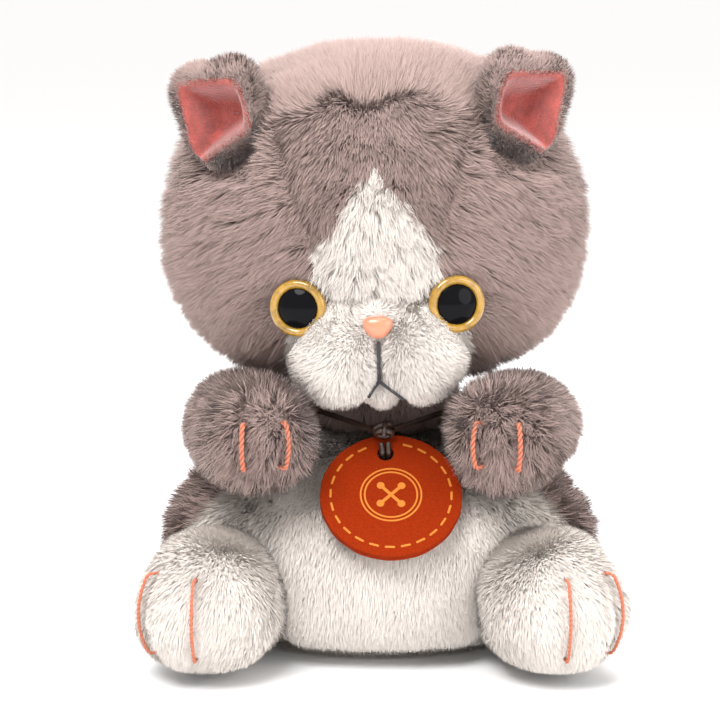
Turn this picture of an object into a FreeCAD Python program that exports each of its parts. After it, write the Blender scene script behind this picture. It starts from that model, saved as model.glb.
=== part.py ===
"""A seated plush cat with a round tag on a cord.

Units are millimetres, +Z is up, and the cat faces -Y. The origin is the centre of the flat
base of the trunk, on the surface that the cat sits on. "Left" and "right" are the cat's own,
so its left side is at +X. Every outer size is taken to the tips of the pile.
"""
import os

import FreeCAD
import Part
from math import atan2, copysign, cos, degrees, pi, radians, sin, sqrt

V = FreeCAD.Vector
X_AXIS, Y_AXIS, Z_AXIS = V(1, 0, 0), V(0, 1, 0), V(0, 0, 1)
SIDES = {"left": 1, "right": -1}

# Trunk
TRUNK_HALF_WIDTH = 58.0
TRUNK_HALF_DEPTH = 47.0
TRUNK_TOP = 59.0
TRUNK_SLOPE_POWER = 1.75
TRUNK_SLOPE_ROOT = 0.54
TRUNK_TOP_SHARE = 0.985
TRUNK_STEPS = 4
TRUNK_WIDEST_Z = 27.0
TRUNK_BASE_HALF_WIDTH = 36.0
TRUNK_Y = -4.0
SIDE_SEAM_Y = -20.0
BASE_SEAM_Z = 3.0

# Plush: pile and backing together, on each kind of panel
HEAD_PLUSH = 6.0
TRUNK_PLUSH = 6.0
LIMB_PLUSH = 5.0
BODY_GAP = 0.5

# Neck
NECK_Z = 61.0
NECK_RADIUS = 12.0

# Head
HEAD_HALF_WIDTH = 54.5
HEAD_HALF_DEPTH = 45.0
HEAD_BOTTOM = 63.0
HEAD_TOP = 153.0
HEAD_POWER_LOW = 2.6
HEAD_POWER_HIGH = 2.2
HEAD_STEPS = 6
POLE_ANGLE = 82.0
HEAD_ROLL = 1.5
GUSSET_TOP_HALF = 30.0
GUSSET_SLOPE = 0.35
BLAZE_TIP_BELOW_TOP = 28.0
BLAZE_HALF_WIDTH = 15.0
BLAZE_HEIGHT = 22.0
CROWN_BACK_Y = 10.0

# Muzzle
MUZZLE_Z = 79.5
MUZZLE_HALF_WIDTH = 22.5
MUZZLE_HALF_HEIGHT = 15.0
MUZZLE_LOBE_X = 9.5
MUZZLE_LOBE_Y = -36.5
MUZZLE_LOBE_HALF = (13.0, 13.0, 14.5)
MUZZLE_SEAM_DEPTH = 20.0

# Eyes: moulded safety eyes on shanks
EYE_X = 19.4
EYE_Z = 90.0
EYE_SINK = 0.8
EYE_YAW = 14.0
EYE_RADIUS = 7.0
PUPIL_RADIUS = 5.0
EYE_THICKNESS = 2.6
EYE_DOME = 1.5
SHANK_RADIUS = 2.0
SHANK_LENGTH = 7.0
WASHER_RADIUS = 5.5
WASHER_THICKNESS = 1.2
MOULDED_GAP = 0.05
POCKET_EASE = 0.15

# Nose and mouth
NOSE_WIDTH = 7.0
NOSE_HEIGHT = 5.2
NOSE_THICKNESS = 2.6
NOSE_Z = 86.0
NOSE_PROUD = 1.6
NOSE_SHANK_RADIUS = 1.5
NOSE_SHANK_LENGTH = 9.0
NOSE_WASHER_RADIUS = 4.0
THREAD_RADIUS = 0.4

# Ears
EAR_X = 37.5
EAR_Y = -23.0
EAR_YAW = 28.0
EAR_LEAN = 12.0
EAR_TIP_BACK = 4.0
EAR_HALF_WIDTH = 11.8
EAR_HALF_DEPTH = 8.0
EAR_HEIGHT = 21.5
EAR_PLUSH = 4.0
EAR_LINING = 1.2
EAR_CLEAR = 2.2
EAR_ROLL_RADIUS = 3.0
EAR_ROLL_LENGTH = 15.0
EAR_SINK = 1.5
EAR_NECK = 7.0
EAR_FOLD_ROOM = 1.4

# Arms
SHOULDER = (38.0, -8.0, 54.5)
SHOULDER_RADIUS = 12.5
PAW = (31.5, -45.5, 57.0)
PAW_RADIUS = 13.5
PAW_THREADS = (-40.0, 12.0)
PAW_THREAD_SPAN = 60.0

# Legs
HIP = (38.0, -35.0, 17.3)
HIP_RADIUS = 17.0
FOOT = (42.0, -49.0, 18.2)
FOOT_RADIUS = 19.2
FOOT_THREADS = (8.0, 58.0)
FOOT_THREAD_SPAN = 75.0

# Tail
TAIL_ROOT = (0.0, 40.0, 15.0)
TAIL_ROOT_RADIUS = 7.0
TAIL_TIP = (0.0, 58.0, 24.0)
TAIL_TIP_RADIUS = 6.0
SOCKET_EASE = 1.5

# Turns, in degrees, that the trunk's cover leaves room for
ARM_TURNS = (9.0, 18.0, 27.0, 36.0, 45.0)
TAIL_TURNS = (-10.0, 10.0)

# Pellet bag in the seat
PELLET_BAG_HALF = (30.0, 24.0, 9.0)
PELLET_BAG_Z = 17.0

# Tag and its cord
TAG_CENTRE = (2.6, -43.4, 43.6)
TAG_RADIUS = 17.3
TAG_LAYER = 1.1
TAG_SLOPE = 45.0
TAG_LEAN = 6.0
TAG_HOLE_RADIUS = 2.0
TAG_HOLE_FROM_CENTRE = 12.0
KNOT_FROM_CENTRE = 17.0
KNOT_PROUD = 3.7
KNOT_HALF = (3.0, 1.9, 2.1)
LOOP_FRONT_TOP = (14.0, 2.5)
LOOP_BACK_TOP = (18.6, -2.1)
LOOP_END = (19.4, 1.2)
TAG_ROOM = 0.8
CORD_RADIUS = 0.75
CORD_ROUTE = [
    (-1.8, -33.7, 58.4), (-12.5, -25.0, 60.4), (-20.6, -10.5, 60.0), (-21.4, 4.5, 58.8),
    (-13.0, 16.5, 58.0), (0.6, 20.4, 57.7), (13.6, 16.2, 58.0), (21.6, 4.0, 58.8),
    (20.8, -11.0, 59.8), (13.6, -24.6, 60.0), (3.2, -33.6, 58.3),
]


def turned(edges):
    """Solid of revolution about Z from profile edges in the XZ plane."""
    face = Part.Face(Part.Wire(edges))
    return face.revolve(V(0, 0, 0), Z_AXIS, 360)


def line(start, end):
    return Part.LineSegment(start, end).toShape()


def lofted(sections, y=0.0):
    """Smooth solid through level ellipses, each given as height, half width and half depth."""
    wires = []
    for z, half_x, half_y in sections:
        wires.append(Part.Wire([Part.Ellipse(V(0, y, z), half_x, half_y).toShape()]))
    return Part.makeLoft(wires, True, False)


def stretched(shape, scale_x, scale_y, scale_z):
    matrix = FreeCAD.Matrix()
    matrix.scale(V(scale_x, scale_y, scale_z))
    return shape.transformGeometry(matrix)


def ellipsoid(centre, half_sizes):
    ball = stretched(Part.makeSphere(1.0), *half_sizes)
    ball.translate(V(*centre))
    return ball


def placed(shape, origin, direction):
    """The shape moved so that its own Z axis runs along direction from origin."""
    copy = shape.copy()
    turn = FreeCAD.Rotation(Z_AXIS, V(*direction))
    copy.Placement = FreeCAD.Placement(V(*origin), turn)
    return copy


def capsule(start, start_radius, end, end_radius, grow=0.0):
    """Two balls joined by the cone that touches both, as one turned solid."""
    start, end = V(*start), V(*end)
    length = (end - start).Length
    r_start, r_end = start_radius + grow, end_radius + grow
    tilt_sin = (r_start - r_end) / length
    tilt_cos = sqrt(1 - tilt_sin ** 2)
    low = V(r_start * tilt_cos, 0, r_start * tilt_sin)
    high = V(r_end * tilt_cos, 0, length + r_end * tilt_sin)
    tilt = atan2(tilt_sin, tilt_cos)
    mid_low = (tilt - pi / 2) / 2
    mid_high = (tilt + pi / 2) / 2
    bottom, top = V(0, 0, -r_start), V(0, 0, length + r_end)
    edges = [
        Part.Arc(bottom, V(r_start * cos(mid_low), 0, r_start * sin(mid_low)), low).toShape(),
        line(low, high),
        Part.Arc(high, V(r_end * cos(mid_high), 0, length + r_end * sin(mid_high)), top).toShape(),
        line(top, bottom),
    ]
    return placed(turned(edges), start, end - start)


def cut_in_turn(shape, tools):
    for tool in tools:
        shape = shape.cut(tool)
    return largest_solid(shape)


def box(low, high):
    size = V(*high) - V(*low)
    return Part.makeBox(size.x, size.y, size.z, V(*low))


def prism_along_y(points, near_y, far_y):
    """A closed outline in the XZ plane, pushed from near_y to far_y."""
    corners = [V(x, near_y, z) for x, z in points]
    face = Part.Face(Part.makePolygon(corners + corners[:1]))
    return face.extrude(V(0, far_y - near_y, 0))


def mirrored_x(point, side):
    return (point[0] * side, point[1], point[2])


def largest_solid(shape):
    return max(shape.Solids, key=lambda solid: solid.Volume)


def cut_near(shape, tools):
    """Cuts with each tool that comes near the shape."""
    for tool in tools:
        if shape.BoundBox.intersect(tool.BoundBox):
            shape = shape.cut(tool)
    return shape


def largest_shell(shape):
    """Solid inside the largest closed skin of a shape."""
    return Part.Solid(max(shape.Shells, key=lambda shell: shell.BoundBox.DiagonalLength))


# ---------------------------------------------------------------- head

def roll_head(shape):
    """The head is sewn on a little askew, so everything on it is rolled about the neck."""
    copy = shape.copy()
    copy.rotate(V(0, 0, NECK_Z), Y_AXIS, -HEAD_ROLL)
    return copy


def roll_point(point, pivot=V(0, 0, NECK_Z)):
    return pivot + FreeCAD.Rotation(Y_AXIS, -HEAD_ROLL).multVec(point - pivot)


def head_ball(inset=0.0):
    """Round head, fuller below its middle than above it."""
    half_width, half_depth = HEAD_HALF_WIDTH - inset, HEAD_HALF_DEPTH - inset
    middle = (HEAD_TOP + HEAD_BOTTOM) / 2
    half_height = (HEAD_TOP - HEAD_BOTTOM) / 2 - inset
    sections = []
    for index in range(-HEAD_STEPS, HEAD_STEPS + 1):
        angle = radians(POLE_ANGLE) * index / HEAD_STEPS
        power = HEAD_POWER_HIGH if index > 0 else HEAD_POWER_LOW
        share = cos(angle) ** (2.0 / power)
        rise = copysign(abs(sin(angle)) ** (2.0 / power), angle)
        sections.append((middle + half_height * rise, half_width * share, half_depth * share))
    return lofted(sections)


def muzzle_lobe(side, inset=0.0):
    half_sizes = [half - inset for half in MUZZLE_LOBE_HALF]
    return ellipsoid((MUZZLE_LOBE_X * side, MUZZLE_LOBE_Y, MUZZLE_Z), half_sizes)


def skull(inset=0.0):
    """Head with its muzzle, less the neck socket; inset gives the inside of the cover."""
    body = head_ball(inset)
    for side in SIDES.values():
        body = body.fuse(muzzle_lobe(side, inset))
    socket = Part.makeSphere(NECK_RADIUS + BODY_GAP + inset, V(0, 0, NECK_Z))
    return body.cut(socket)


def gusset_half_width(z):
    return GUSSET_TOP_HALF - GUSSET_SLOPE * (HEAD_TOP - z)


def gusset_region():
    """The middle strip of the head, between the two seams that run down from the ears."""
    top, bottom = HEAD_TOP + 10, HEAD_BOTTOM - 10
    reach = HEAD_HALF_DEPTH + 20
    wide, narrow = gusset_half_width(top), max(4.0, gusset_half_width(bottom))
    knee = HEAD_TOP - (GUSSET_TOP_HALF - 4.0) / GUSSET_SLOPE
    if knee > bottom:
        outline = [(-wide, top), (wide, top), (4, knee), (4, bottom), (-4, bottom), (-4, knee)]
    else:
        outline = [(-wide, top), (wide, top), (narrow, bottom), (-narrow, bottom)]
    return prism_along_y(outline, -reach, reach)


def blaze_region():
    """White wedge on the forehead, with its tip up."""
    tip = HEAD_TOP - BLAZE_TIP_BELOW_TOP
    wide_z = tip - BLAZE_HEIGHT
    outline = [(0, tip), (BLAZE_HALF_WIDTH, wide_z), (BLAZE_HALF_WIDTH, MUZZLE_Z),
               (-BLAZE_HALF_WIDTH, MUZZLE_Z), (-BLAZE_HALF_WIDTH, wide_z)]
    return prism_along_y(outline, -HEAD_HALF_DEPTH - 20, -HEAD_HALF_DEPTH / 2)


def muzzle_region():
    disc = Part.makeCylinder(1.0, 1.0)
    disc = stretched(disc, MUZZLE_HALF_WIDTH, MUZZLE_HALF_HEIGHT, HEAD_HALF_DEPTH + 20 - MUZZLE_SEAM_DEPTH)
    return placed(disc, (0, -MUZZLE_SEAM_DEPTH, MUZZLE_Z), (0, -1, 0))


def surface_y(solid, x, z):
    """Front-most Y of a solid on the line through x, z that runs along Y."""
    ray = line(V(x, -HEAD_HALF_DEPTH - 30, z), V(x, 0, z))
    return min(vertex.Y for vertex in ray.common(solid).Vertexes)


def eye_frame(head, side):
    """Where an eye sits, and which way it faces."""
    x = EYE_X * side
    y = surface_y(head, x, EYE_Z)
    facing = V(sin(radians(EYE_YAW)) * side, -cos(radians(EYE_YAW)), 0)
    return V(x, y, EYE_Z) - facing * EYE_SINK, facing


def eye_rim():
    """Moulded iris ring with its shank; its face is at Z = 0."""
    back = -EYE_THICKNESS
    seat = back + 1.0
    crest = 0.7
    ring_middle = (EYE_RADIUS + PUPIL_RADIUS) / 2
    shank_end = back - SHANK_LENGTH
    edges = [
        line(V(0, 0, shank_end), V(SHANK_RADIUS, 0, shank_end)),
        line(V(SHANK_RADIUS, 0, shank_end), V(SHANK_RADIUS, 0, back)),
        line(V(SHANK_RADIUS, 0, back), V(EYE_RADIUS, 0, back)),
        line(V(EYE_RADIUS, 0, back), V(EYE_RADIUS, 0, -crest)),
        Part.Arc(V(EYE_RADIUS, 0, -crest), V(ring_middle + 0.4, 0, crest - 0.1),
                 V(PUPIL_RADIUS, 0, 0)).toShape(),
        line(V(PUPIL_RADIUS, 0, 0), V(PUPIL_RADIUS, 0, seat)),
        line(V(PUPIL_RADIUS, 0, seat), V(0, 0, seat)),
        line(V(0, 0, seat), V(0, 0, shank_end)),
    ]
    return turned(edges)


def eye_pupil():
    seat = 1.0 - EYE_THICKNESS + MOULDED_GAP
    radius = PUPIL_RADIUS - MOULDED_GAP
    round_radius = (radius ** 2 + EYE_DOME ** 2) / (2 * EYE_DOME)
    drop = round_radius - EYE_DOME
    half_turn = atan2(radius, drop) / 2
    edges = [
        line(V(0, 0, seat), V(radius, 0, seat)),
        line(V(radius, 0, seat), V(radius, 0, 0)),
        Part.Arc(V(radius, 0, 0), V(round_radius * sin(half_turn), 0, round_radius * cos(half_turn) - drop),
                 V(0, 0, EYE_DOME)).toShape(),
        line(V(0, 0, EYE_DOME), V(0, 0, seat)),
    ]
    return turned(edges)


def washer(outer, inner, depth):
    """Lock washer whose front face is at Z = -depth."""
    ring = Part.makeCylinder(outer, WASHER_THICKNESS, V(0, 0, -depth - WASHER_THICKNESS))
    below = V(0, 0, -depth - 2 * WASHER_THICKNESS)
    bore = Part.makeCylinder(inner + MOULDED_GAP, WASHER_THICKNESS * 3, below)
    return ring.cut(bore)


def washer_pocket(radius, depth):
    """Room for a washer behind the cover, depth below the front face."""
    return Part.makeCylinder(radius + POCKET_EASE, WASHER_THICKNESS + 2 * POCKET_EASE,
                             V(0, 0, -depth - WASHER_THICKNESS - POCKET_EASE))


def nose_button():
    """Rounded triangle with its point down, on a shank; its back is at Z = 0."""
    half, high = NOSE_WIDTH / 2, NOSE_HEIGHT
    corners = [V(-half, high * 0.45, 0), V(half, high * 0.45, 0), V(0, -high * 0.62, 0)]
    face = Part.Face(Part.makePolygon(corners + corners[:1]))
    body = face.extrude(V(0, 0, NOSE_THICKNESS))
    upright = [edge for edge in body.Edges if abs(edge.tangentAt(edge.FirstParameter).z) > 0.9]
    body = body.makeFillet(0.9, upright)
    front = [edge for edge in body.Edges if edge.BoundBox.ZMin > NOSE_THICKNESS - 0.01]
    body = body.makeFillet(0.8, front)
    shank = Part.makeCylinder(NOSE_SHANK_RADIUS, NOSE_SHANK_LENGTH, V(0, 0, -NOSE_SHANK_LENGTH))
    return body.fuse(shank).removeSplitter()


def stitched_line(points, radius):
    """A laid thread: round runs with a ball at each bend."""
    shape = Part.makeSphere(radius, points[0])
    for start, end in zip(points, points[1:]):
        run = Part.makeCylinder(radius, (end - start).Length, start, end - start)
        shape = shape.fuse([run, Part.makeSphere(radius, end)])
    return shape.removeSplitter()


def mouth_thread(head):
    """Stem under the nose that parts into a short curve on each lobe."""
    stem_top, fork, lip_z = NOSE_Z - 4.2, NOSE_Z - 14.0, NOSE_Z - 18.0
    routes = [
        [(0.0, stem_top), (0.0, (stem_top + fork) / 2), (0.0, fork)],
        [(0.0, fork), (-1.5, fork - 1.8), (-2.6, lip_z)],
        [(0.0, fork), (2.9, fork - 2.0), (5.6, lip_z - 0.4)],
    ]
    parts = []
    for route in routes:
        points = [V(x, surface_y(head, x, z) - THREAD_RADIUS * 0.6, z) for x, z in route]
        parts.append(stitched_line(points, THREAD_RADIUS))
    return parts[0].fuse(parts[1:]).removeSplitter()


# ---------------------------------------------------------------- ears

def surface_z(solid, x, y):
    """Highest Z of a solid on the upright line through x, y."""
    ray = line(V(x, y, (HEAD_BOTTOM + HEAD_TOP) / 2), V(x, y, HEAD_TOP + 20))
    return max(vertex.Z for vertex in ray.common(solid).Vertexes)


def ear_base(head, side):
    """Middle of the ear's seam on the head, the seam's direction outward, and the way out."""
    yaw = radians(EAR_YAW)
    reach = EAR_ROLL_LENGTH / 3
    ends = []
    for share in (-1, 1):
        x = (EAR_X + share * reach * cos(yaw)) * side
        y = EAR_Y + share * reach * sin(yaw)
        ends.append(V(x, y, surface_z(head, x, y)))
    along = ends[1] - ends[0]
    along.normalize()
    middle = V(EAR_X * side, EAR_Y, surface_z(head, EAR_X * side, EAR_Y))
    centre_z = (HEAD_TOP + HEAD_BOTTOM) / 2
    outward = V(middle.x / HEAD_HALF_WIDTH ** 2, middle.y / HEAD_HALF_DEPTH ** 2,
                (middle.z - centre_z) / (HEAD_TOP - centre_z) ** 2)
    outward.normalize()
    return middle, along, outward


def ear_turn(side):
    """Leaned outward, tipped back, then turned to open a little sideways."""
    lean = FreeCAD.Rotation(Y_AXIS, EAR_LEAN * side)
    tip = FreeCAD.Rotation(X_AXIS, -EAR_TIP_BACK)
    yaw = FreeCAD.Rotation(Z_AXIS, EAR_YAW * side)
    return yaw.multiply(tip).multiply(lean)


def ear_dome(inset=0.0, forward=0.0):
    """Rounded ear form standing on its own origin; moved forward it cuts the hollow."""
    half_height = EAR_HEIGHT * 0.6
    centre = (0, -forward, EAR_HEIGHT - half_height)
    return ellipsoid(centre, (EAR_HALF_WIDTH - inset, EAR_HALF_DEPTH - inset * 0.5, half_height - inset))


def make_ear(head, side):
    """Plush back with its seam roll, and the knitted lining in its hollow."""
    base, along, outward = ear_base(head, side)
    stand = FreeCAD.Placement(base, ear_turn(side))
    forms = {
        "outer": ear_dome(),
        "hollow": ear_dome(EAR_PLUSH - EAR_LINING, EAR_PLUSH + 1.5),
        "deep": ear_dome(EAR_PLUSH, EAR_PLUSH + 1.5 + EAR_LINING),
    }
    for form in forms.values():
        form.Placement = stand.multiply(form.Placement)
    clear = head_ball(-EAR_CLEAR)
    back = largest_solid(forms["outer"].cut(forms["hollow"]).cut(clear))
    lining = forms["outer"].common(forms["hollow"]).cut(forms["deep"]).cut(clear)
    hinge = base - outward * EAR_SINK
    start = hinge - along * EAR_ROLL_LENGTH / 2
    roll = Part.makeCylinder(EAR_ROLL_RADIUS, EAR_ROLL_LENGTH, start, along)
    ease = BODY_GAP
    trough = Part.makeCylinder(EAR_ROLL_RADIUS + ease, EAR_ROLL_LENGTH + 2 * ease,
                               start - along * ease, along)
    backward = outward.cross(along) * -side
    foot_top = hinge + outward * EAR_NECK + backward * EAR_ROLL_RADIUS
    foot = capsule(hinge, EAR_ROLL_RADIUS, foot_top, EAR_ROLL_RADIUS)
    foot_room = capsule(hinge, EAR_ROLL_RADIUS + ease, foot_top, EAR_ROLL_RADIUS + EAR_FOLD_ROOM)
    back = back.fuse([roll, foot.cut(forms["hollow"])])
    return {"back": largest_solid(back), "lining": largest_solid(lining), "trough": trough,
            "foot_room": foot_room, "hinge": hinge, "along": along}


# ---------------------------------------------------------------- limbs and tail

def arm_solid(side, grow=0.0):
    return capsule(mirrored_x(SHOULDER, side), SHOULDER_RADIUS, mirrored_x(PAW, side), PAW_RADIUS, grow)


def leg_solid(side, grow=0.0):
    return capsule(mirrored_x(HIP, side), HIP_RADIUS, mirrored_x(FOOT, side), FOOT_RADIUS, grow)


def tail_solid(grow=0.0):
    return capsule(TAIL_ROOT, TAIL_ROOT_RADIUS, TAIL_TIP, TAIL_TIP_RADIUS, grow)


def above_floor(shape, floor=0.0):
    reach = 200.0
    return shape.cut(box((-reach, -reach, floor - reach), (reach, reach, floor)))


def cover_and_stuffing(solid_at, floor_inset):
    """Plush cover as a shell, and the stuffing that fills it."""
    outer = above_floor(solid_at(0.0))
    inner = above_floor(solid_at(-LIMB_PLUSH), floor_inset)
    return outer.cut(inner), inner


def claw_thread(centre, radius, yaw, span, pitch=0.0):
    """One laid thread: an arc over a ball, in the upright plane at a yaw from straight ahead."""
    arc = Part.makeTorus(radius + THREAD_RADIUS, THREAD_RADIUS, V(0, 0, 0), Z_AXIS, 0, 360, span)
    arc.rotate(V(0, 0, 0), Z_AXIS, -span / 2)
    arc.rotate(V(0, 0, 0), X_AXIS, 90)
    arc.rotate(V(0, 0, 0), Y_AXIS, -pitch)
    arc.rotate(V(0, 0, 0), Z_AXIS, -90 + yaw)
    arc.translate(V(*centre))
    return arc


# ---------------------------------------------------------------- trunk

def trunk_ball(inset=0.0):
    """Pear-shaped trunk: rounded under its widest level down to a flat base, sloping above it."""
    half_width, half_depth = TRUNK_HALF_WIDTH - inset, TRUNK_HALF_DEPTH - inset
    base_share = TRUNK_BASE_HALF_WIDTH / TRUNK_HALF_WIDTH
    floor = min(inset, BASE_SEAM_Z)
    top = TRUNK_TOP - inset
    sections = []
    for index in range(TRUNK_STEPS):
        drop = 1.0 - index / TRUNK_STEPS
        share = base_share + (1.0 - base_share) * sqrt(1.0 - drop ** 2)
        sections.append((TRUNK_WIDEST_Z - drop * (TRUNK_WIDEST_Z - floor), share))
    for index in range(TRUNK_STEPS + 1):
        rise = TRUNK_TOP_SHARE * index / TRUNK_STEPS
        share = (1.0 - rise ** TRUNK_SLOPE_POWER) ** TRUNK_SLOPE_ROOT
        sections.append((TRUNK_WIDEST_Z + rise * (top - TRUNK_WIDEST_Z), share))
    levels = [(z, half_width * share, half_depth * share) for z, share in sections]
    return lofted(levels, TRUNK_Y)


def trunk_hollows():
    """Sockets that the neck and the roots of the limbs and tail press into the trunk."""
    sockets = [Part.makeSphere(NECK_RADIUS + BODY_GAP, V(0, 0, NECK_Z))]
    for side in SIDES.values():
        shoulder, hip = mirrored_x(SHOULDER, side), mirrored_x(HIP, side)
        sockets.append(Part.makeSphere(SHOULDER_RADIUS + SOCKET_EASE, V(*shoulder)))
        sockets.append(Part.makeSphere(HIP_RADIUS + SOCKET_EASE, V(*hip)))
    sockets.append(Part.makeSphere(TAIL_ROOT_RADIUS + SOCKET_EASE, V(*TAIL_ROOT)))
    return sockets


def limb_dents():
    """Shallow dents where the limbs lie against the cover."""
    dents = []
    for side in SIDES.values():
        dents += [arm_solid(side, BODY_GAP), leg_solid(side, BODY_GAP)]
    dents.append(tail_solid(BODY_GAP))
    return dents


def turned_dents():
    """Room in the cover for the arms and the tail as they turn."""
    dents = []
    for side in SIDES.values():
        for turn in ARM_TURNS:
            arm = arm_solid(side, BODY_GAP)
            arm.rotate(V(*mirrored_x(SHOULDER, side)), Z_AXIS, turn * side)
            dents.append(arm)
    for turn in TAIL_TURNS:
        tail = tail_solid(BODY_GAP)
        tail.rotate(V(*TAIL_ROOT), Z_AXIS, turn)
        dents.append(tail)
    return dents


# ---------------------------------------------------------------- tag and cord

def tag_directions():
    """Down the tag's slope, across it, and out of its face."""
    slope = radians(TAG_SLOPE)
    down = V(0, -cos(slope), -sin(slope))
    face = V(0, -sin(slope), cos(slope))
    lean = FreeCAD.Rotation(face, TAG_LEAN)
    down = lean.multVec(down)
    return down, face.cross(down), face


def tag_layer(front):
    down, _, face = tag_directions()
    centre = V(*TAG_CENTRE)
    start = centre if front else centre - face * TAG_LAYER
    disc = Part.makeCylinder(TAG_RADIUS, TAG_LAYER, start, face)
    hole = Part.makeCylinder(TAG_HOLE_RADIUS, TAG_LAYER * 4,
                             centre - down * TAG_HOLE_FROM_CENTRE - face * TAG_LAYER * 2, face)
    return disc.cut(hole)


def knot_centre():
    return tag_point(KNOT_FROM_CENTRE, KNOT_PROUD)


def tag_knot():
    return ellipsoid(tuple(knot_centre()), KNOT_HALF)


def tag_point(up, out, sideways=0.0):
    """Point above the tag's centre along its slope, out of its face and across it."""
    down, across, face = tag_directions()
    return V(*TAG_CENTRE) - down * up + face * out + across * sideways


def tag_loop():
    """Two strands down from the knot, through the hole and back up behind the tag, joined at the top."""
    depth = TAG_LAYER + CORD_RADIUS + 0.15
    strands = []
    for offset in (-1, 1):
        aside = offset * (CORD_RADIUS + 0.02)
        route = [LOOP_FRONT_TOP, (TAG_HOLE_FROM_CENTRE, depth), (TAG_HOLE_FROM_CENTRE, -depth),
                 LOOP_BACK_TOP, LOOP_END]
        strands.append(stitched_line([tag_point(up, out, aside) for up, out in route], CORD_RADIUS))
    bridge = stitched_line([tag_point(*LOOP_END, 0.8), tag_point(*LOOP_END, -0.8)], CORD_RADIUS)
    return strands[0].fuse([strands[1], bridge]).removeSplitter()


def tag_room():
    """Room in the trunk's cover behind the tag, and for the strands behind it."""
    _, _, face = tag_directions()
    start = tag_point(0.0, -TAG_LAYER - TAG_ROOM)
    disc = Part.makeCylinder(TAG_RADIUS + TAG_ROOM, 4 * TAG_LAYER, start, face)
    low_end = tag_point(TAG_HOLE_FROM_CENTRE - 1.0, -TAG_LAYER - CORD_RADIUS)
    room = 2 * CORD_RADIUS + TAG_ROOM
    strands = capsule(low_end, room, tag_point(*LOOP_BACK_TOP), room)
    return [disc, strands]


def cord_tube(route, radius):
    """Round tube along straight runs joined by tangent arcs."""
    points = [V(*point) for point in route]
    edges = []
    radii = []
    here = points[0]
    for before, corner, after in zip(points, points[1:], points[2:]):
        back, ahead = before - corner, after - corner
        shorter = min(back.Length, ahead.Length)
        back.normalize()
        ahead.normalize()
        turn = pi - back.getAngle(ahead)
        bend = 0.45 * shorter / (sin(turn / 2) / cos(turn / 2))
        radii.append(bend)
        start, end = corner + back * 0.45 * shorter, corner + ahead * 0.45 * shorter
        inward = back + ahead
        inward.normalize()
        middle = corner + inward * (bend / cos(turn / 2) - bend)
        edges += [line(here, start), Part.Arc(start, middle, end).toShape()]
        here = end
    edges.append(line(here, points[-1]))
    path = Part.Wire(edges)
    first = points[1] - points[0]
    ring = Part.Wire(Part.makeCircle(radius, points[0], first))
    tube = path.makePipeShell([ring], True, True)
    print("cord length", round(path.Length, 1), "radii", [round(value, 1) for value in radii],
          "volume share", round(tube.Volume / (pi * radius ** 2 * path.Length), 3))
    return tube


# ---------------------------------------------------------------- whole cat

def head_nodes():
    outer, inner = skull(), skull(HEAD_PLUSH)
    nodes = {}
    eye_tools = []
    washer_tools = []
    for name, side in SIDES.items():
        origin, facing = eye_frame(outer, side)
        nodes["eye_rim_" + name] = placed(eye_rim(), origin, facing)
        nodes["eye_pupil_" + name] = placed(eye_pupil(), origin, facing)
        washer_depth = HEAD_PLUSH + 0.4 - EYE_SINK
        eye_washer = washer(WASHER_RADIUS, SHANK_RADIUS, washer_depth)
        nodes["eye_washer_" + name] = placed(eye_washer, origin, facing)
        pocket = Part.makeCylinder(EYE_RADIUS + POCKET_EASE, EYE_THICKNESS + 10 + POCKET_EASE,
                                   V(0, 0, -EYE_THICKNESS - POCKET_EASE))
        shank_hole = Part.makeCylinder(SHANK_RADIUS, SHANK_LENGTH + EYE_THICKNESS,
                                       V(0, 0, -SHANK_LENGTH - EYE_THICKNESS))
        back_pocket = washer_pocket(WASHER_RADIUS, washer_depth)
        eye_tools += [placed(pocket, origin, facing), placed(shank_hole, origin, facing)]
        washer_tools.append(placed(back_pocket, origin, facing))
    nose_y = surface_y(outer, 0, NOSE_Z)
    nose_origin = V(0, nose_y - NOSE_PROUD, NOSE_Z)
    nose = nose_button()
    nose.rotate(V(0, 0, 0), X_AXIS, 90)
    nose.translate(nose_origin)
    nodes["nose"] = nose
    nose_washer_depth = HEAD_PLUSH + 0.6
    nodes["nose_washer"] = placed(washer(NOSE_WASHER_RADIUS, NOSE_SHANK_RADIUS, nose_washer_depth),
                                  nose_origin, (0, -1, 0))
    nose_pocket = washer_pocket(NOSE_WASHER_RADIUS, nose_washer_depth)
    washer_tools.append(placed(nose_pocket, nose_origin, (0, -1, 0)))
    mouth = mouth_thread(outer)
    nodes["mouth_thread"] = mouth

    ears = {name: make_ear(outer, side) for name, side in SIDES.items()}
    tools = eye_tools + washer_tools + [nose]
    for name, ear in ears.items():
        tools += [ear["trough"], ear["foot_room"]]
        nodes["ear_back_" + name] = ear["back"]
        nodes["ear_lining_" + name] = ear["lining"]
        print("ear hinge", name, roll_point(ear["hinge"]), roll_point(ear["along"], V(0, 0, 0)))
    nodes["head_stuffing"] = largest_shell(cut_near(inner, tools))

    cover = outer.cut(inner)
    muzzle, blaze, gusset = muzzle_region(), blaze_region(), gusset_region()
    panels = {"muzzle_panel": cover.common(muzzle)}
    rest = cover.cut(muzzle)
    panels["blaze_panel"] = rest.common(blaze)
    rest = rest.cut(blaze)
    strip = rest.common(gusset)
    reach = HEAD_HALF_DEPTH + 30
    behind = box((-reach, CROWN_BACK_Y, 0), (reach, reach, HEAD_TOP + 20))
    panels["head_back_panel"] = strip.common(behind)
    panels["crown_panel"] = strip.cut(behind)
    sides = rest.cut(gusset)
    panels["head_side_panel_left"] = sides.common(box((0, -reach, 0), (reach, reach, HEAD_TOP + 20)))
    for name, panel in panels.items():
        nodes[name] = largest_solid(cut_near(panel, tools + [mouth]))
    nodes["head_side_panel_right"] = nodes["head_side_panel_left"].mirror(V(0, 0, 0), X_AXIS)
    return {name: roll_head(shape) for name, shape in nodes.items()}


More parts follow.
